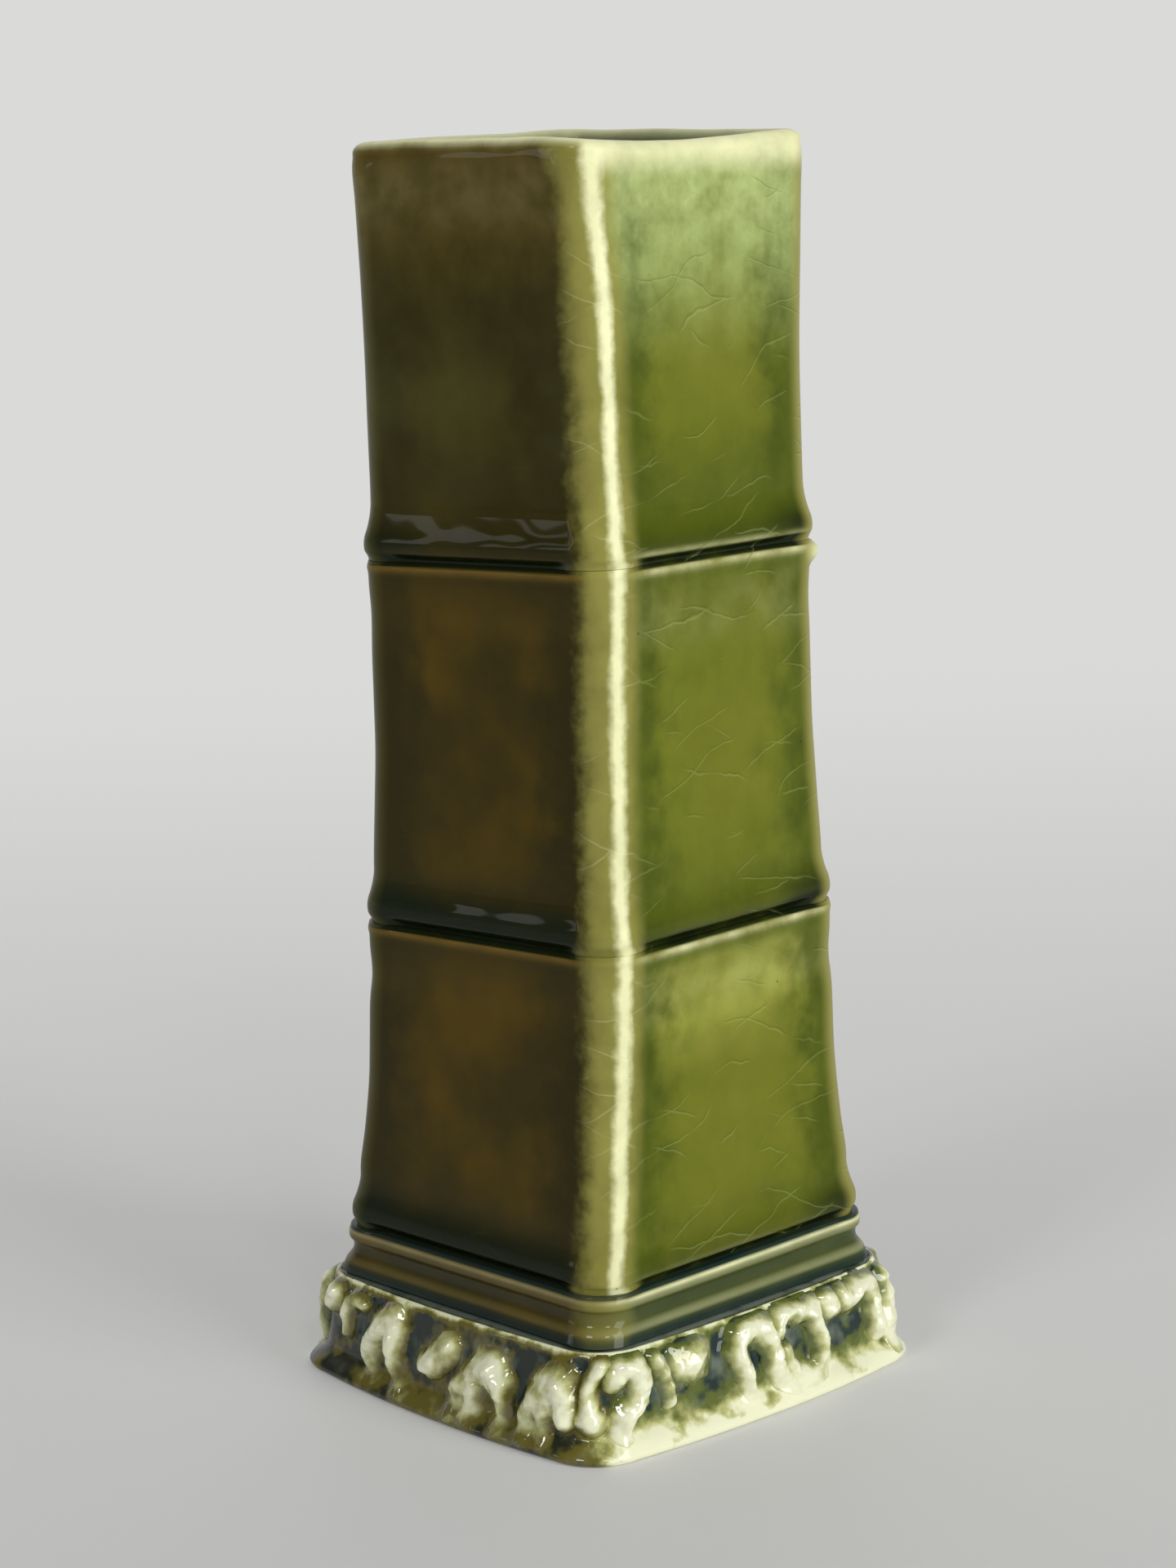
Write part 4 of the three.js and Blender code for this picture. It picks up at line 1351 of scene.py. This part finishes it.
class VASE_OT_add_foot(bpy.types.Operator):
    """Add the foot rim and the floor slab"""

    bl_idname = "vase.add_foot"
    bl_label = "Foot and Floor"

    def execute(self, context):
        add_foot_rim(context.scene.vase_sizes)
        add_floor_slab()
        return {"FINISHED"}


# Stage


def around(turn, distance, height):
    """Place at a turn from the front face and a distance from the upright axis."""
    return (math.sin(turn) * distance, -math.cos(turn) * distance, height)


def add_lamp(name, energy, size, place, aim):
    """Soft rectangular lamp turned towards a point."""
    data = bpy.data.lights.new(name, "AREA")
    data.shape = "RECTANGLE"
    data.energy = energy
    data.size, data.size_y = size
    lamp = bpy.data.objects.new(name, data)
    lamp.location = place
    lamp.rotation_euler = (Vector(aim) - Vector(place)).to_track_quat("-Z", "Y").to_euler()
    bpy.context.scene.collection.objects.link(lamp)


def add_lamps(settings):
    """Tall key lamp at the right, a fill and a small lamp above, and three narrow windows at the left."""
    middle = (0, 0, RIM_TOP / 2)
    key_height = 1.06
    key_place = around(math.radians(92), 2, key_height)
    add_lamp("key_lamp", settings.key, (0.95, 2.1), key_place, (0, 0, key_height))
    add_lamp("fill_lamp", settings.fill, (0.8, 0.8), around(math.radians(4), 2.6, 2.2), middle)
    add_lamp("sparkle_lamp", settings.sparkle, (0.4, 0.4), around(math.radians(60), 2, 1.7), middle)
    for index, (turn, width) in enumerate(((-44, 0.07), (-41.5, 0.02), (-40, 0.04)), start=1):
        place = around(math.radians(turn), 2, 0.56)
        add_lamp(f"window_lamp_{index}", settings.window * width, (width, 0.6), place, middle)


def facing(tree, value, settings):
    """How far a vector reaches in the direction of view."""
    ahead = (-math.sin(settings.eye_turn), math.cos(settings.eye_turn), 0.0)
    return output_of(tree, "ShaderNodeVectorMath", (value, ahead), output="Value", operation="DOT_PRODUCT")


def floor_paper(settings):
    """Pale floor material that runs out into the backdrop behind the vase."""
    material = bpy.data.materials.new("pale_floor")
    material.use_nodes = True
    tree = material.node_tree
    shader = tree.nodes["Principled BSDF"]
    shader.inputs["Base Color"].default_value = rgb(settings.floor)
    shader.inputs["Roughness"].default_value = 0.6
    path = add_node(tree, "ShaderNodeLightPath")
    camera, glossy, clear = (
        Value(tree, path.outputs[f"Is {kind} Ray"]) for kind in ("Camera", "Glossy", "Transmission"))
    far = facing(tree, output_of(tree, "ShaderNodeTexCoord", output="Object"), settings).ramp(-0.5, 0.9)
    seen = far * camera.above(glossy).above(clear)
    paper = output_of(tree, "ShaderNodeEmission", {
        "Color": rgb(settings.floor), "Strength": settings.backdrop})
    blend = output_of(tree, "ShaderNodeMixShader", (seen, Value(tree, shader.outputs[0]), paper))
    feed(tree, blend, tree.nodes["Material Output"].inputs["Surface"])
    return material


def add_floor(settings):
    """Plain pale floor."""
    reach = 6.0
    mesh = bpy.data.meshes.new("floor")
    corners = [(-reach, -reach, 0), (reach, -reach, 0), (reach, reach, 0), (-reach, reach, 0)]
    mesh.from_pydata(corners, [], [(0, 1, 2, 3)])
    mesh.materials.append(floor_paper(settings))
    floor = bpy.data.objects.new("floor", mesh)
    bpy.context.scene.collection.objects.link(floor)


def add_surround(settings):
    """Soft light all round, paler at floor level and behind the vase."""
    world = bpy.data.worlds.new("studio")
    world.use_nodes = True
    bpy.context.scene.world = world
    tree = world.node_tree
    tree.nodes.clear()
    gaze = output_of(tree, "ShaderNodeTexCoord", output="Generated")
    around_vase = parts_of(tree, gaze)[2].ramp(0.0, 0.3, settings.horizon, settings.ambient)
    strength = facing(tree, gaze, settings).ramp(0.3, 0.8, 0.0, settings.backdrop).above(around_vase)
    light = output_of(tree, "ShaderNodeBackground", {"Color": rgb(settings.floor), "Strength": strength})
    add_node(tree, "ShaderNodeOutputWorld", {"Surface": light})


def add_camera(settings):
    """Camera at the viewing angle, with its slight roll."""
    heading = settings.eye_turn + settings.yaw
    forward_flat = Vector((-math.sin(heading), math.cos(heading), 0))
    right = Vector((math.cos(heading), math.sin(heading), 0))
    upright = Vector((0, 0, 1))
    forward = forward_flat * math.cos(settings.pitch) - upright * math.sin(settings.pitch)
    up = forward_flat * math.sin(settings.pitch) + upright * math.cos(settings.pitch)
    rolled_right = right * math.cos(settings.roll) + up * math.sin(settings.roll)
    rolled_up = up * math.cos(settings.roll) - right * math.sin(settings.roll)
    data = bpy.data.cameras.new("view")
    data.lens = settings.lens
    data.sensor_width = 36
    data.clip_start = 0.01
    camera = bpy.data.objects.new("view", data)
    bpy.context.scene.collection.objects.link(camera)
    place = Vector(around(settings.eye_turn, settings.eye_distance, settings.eye_height))
    basis = Matrix((rolled_right, rolled_up, -forward)).transposed().to_4x4()
    camera.matrix_world = Matrix.Translation(place) @ basis
    bpy.context.scene.camera = camera


class VASE_OT_add_stage(bpy.types.Operator):
    """Add the floor, the soft light and the camera"""

    bl_idname = "vase.add_stage"
    bl_label = "Stage"

    def execute(self, context):
        settings = context.scene.vase_stage
        context.scene.view_settings.view_transform = "Standard"
        add_floor(settings)
        add_surround(settings)
        add_lamps(settings)
        add_camera(settings)
        return {"FINISHED"}


# Add-on


GROUPS = {
    "vase_sizes": VaseSizes,
    "vase_warp": KilnWarp,
    "vase_glaze": GlazeColours,
    "vase_stage": StageSettings,
}
OPERATORS = (VASE_OT_add_culms, VASE_OT_add_collar, VASE_OT_add_plinth, VASE_OT_add_roots, VASE_OT_add_knobs,
             VASE_OT_add_foot, VASE_OT_add_stage)


class VASE_PT_panel(bpy.types.Panel):
    """Sizes, glaze and pieces of the vase"""

    bl_idname = "VASE_PT_panel"
    bl_label = "Bamboo-form Vase"
    bl_space_type = "VIEW_3D"
    bl_region_type = "UI"
    bl_category = "Vase"

    def draw(self, context):
        for operator in OPERATORS:
            self.layout.operator(operator.bl_idname)
        for label, settings in GROUPS.items():
            box = self.layout.box()
            for name in settings.__annotations__:
                box.prop(getattr(context.scene, label), name)


CLASSES = (*GROUPS.values(), *OPERATORS, VASE_PT_panel)


def register():
    for item in CLASSES:
        bpy.utils.register_class(item)
    for label, settings in GROUPS.items():
        setattr(bpy.types.Scene, label, bpy.props.PointerProperty(type=settings))


def unregister():
    for label in GROUPS:
        delattr(bpy.types.Scene, label)
    for item in reversed(CLASSES):
        bpy.utils.unregister_class(item)


def main():
    register()
    bpy.ops.vase.add_culms()
    bpy.ops.vase.add_collar()
    bpy.ops.vase.add_plinth()
    bpy.ops.vase.add_roots()
    bpy.ops.vase.add_knobs()
    bpy.ops.vase.add_foot()
    bpy.ops.vase.add_stage()


if __name__ == "__main__":
    main()
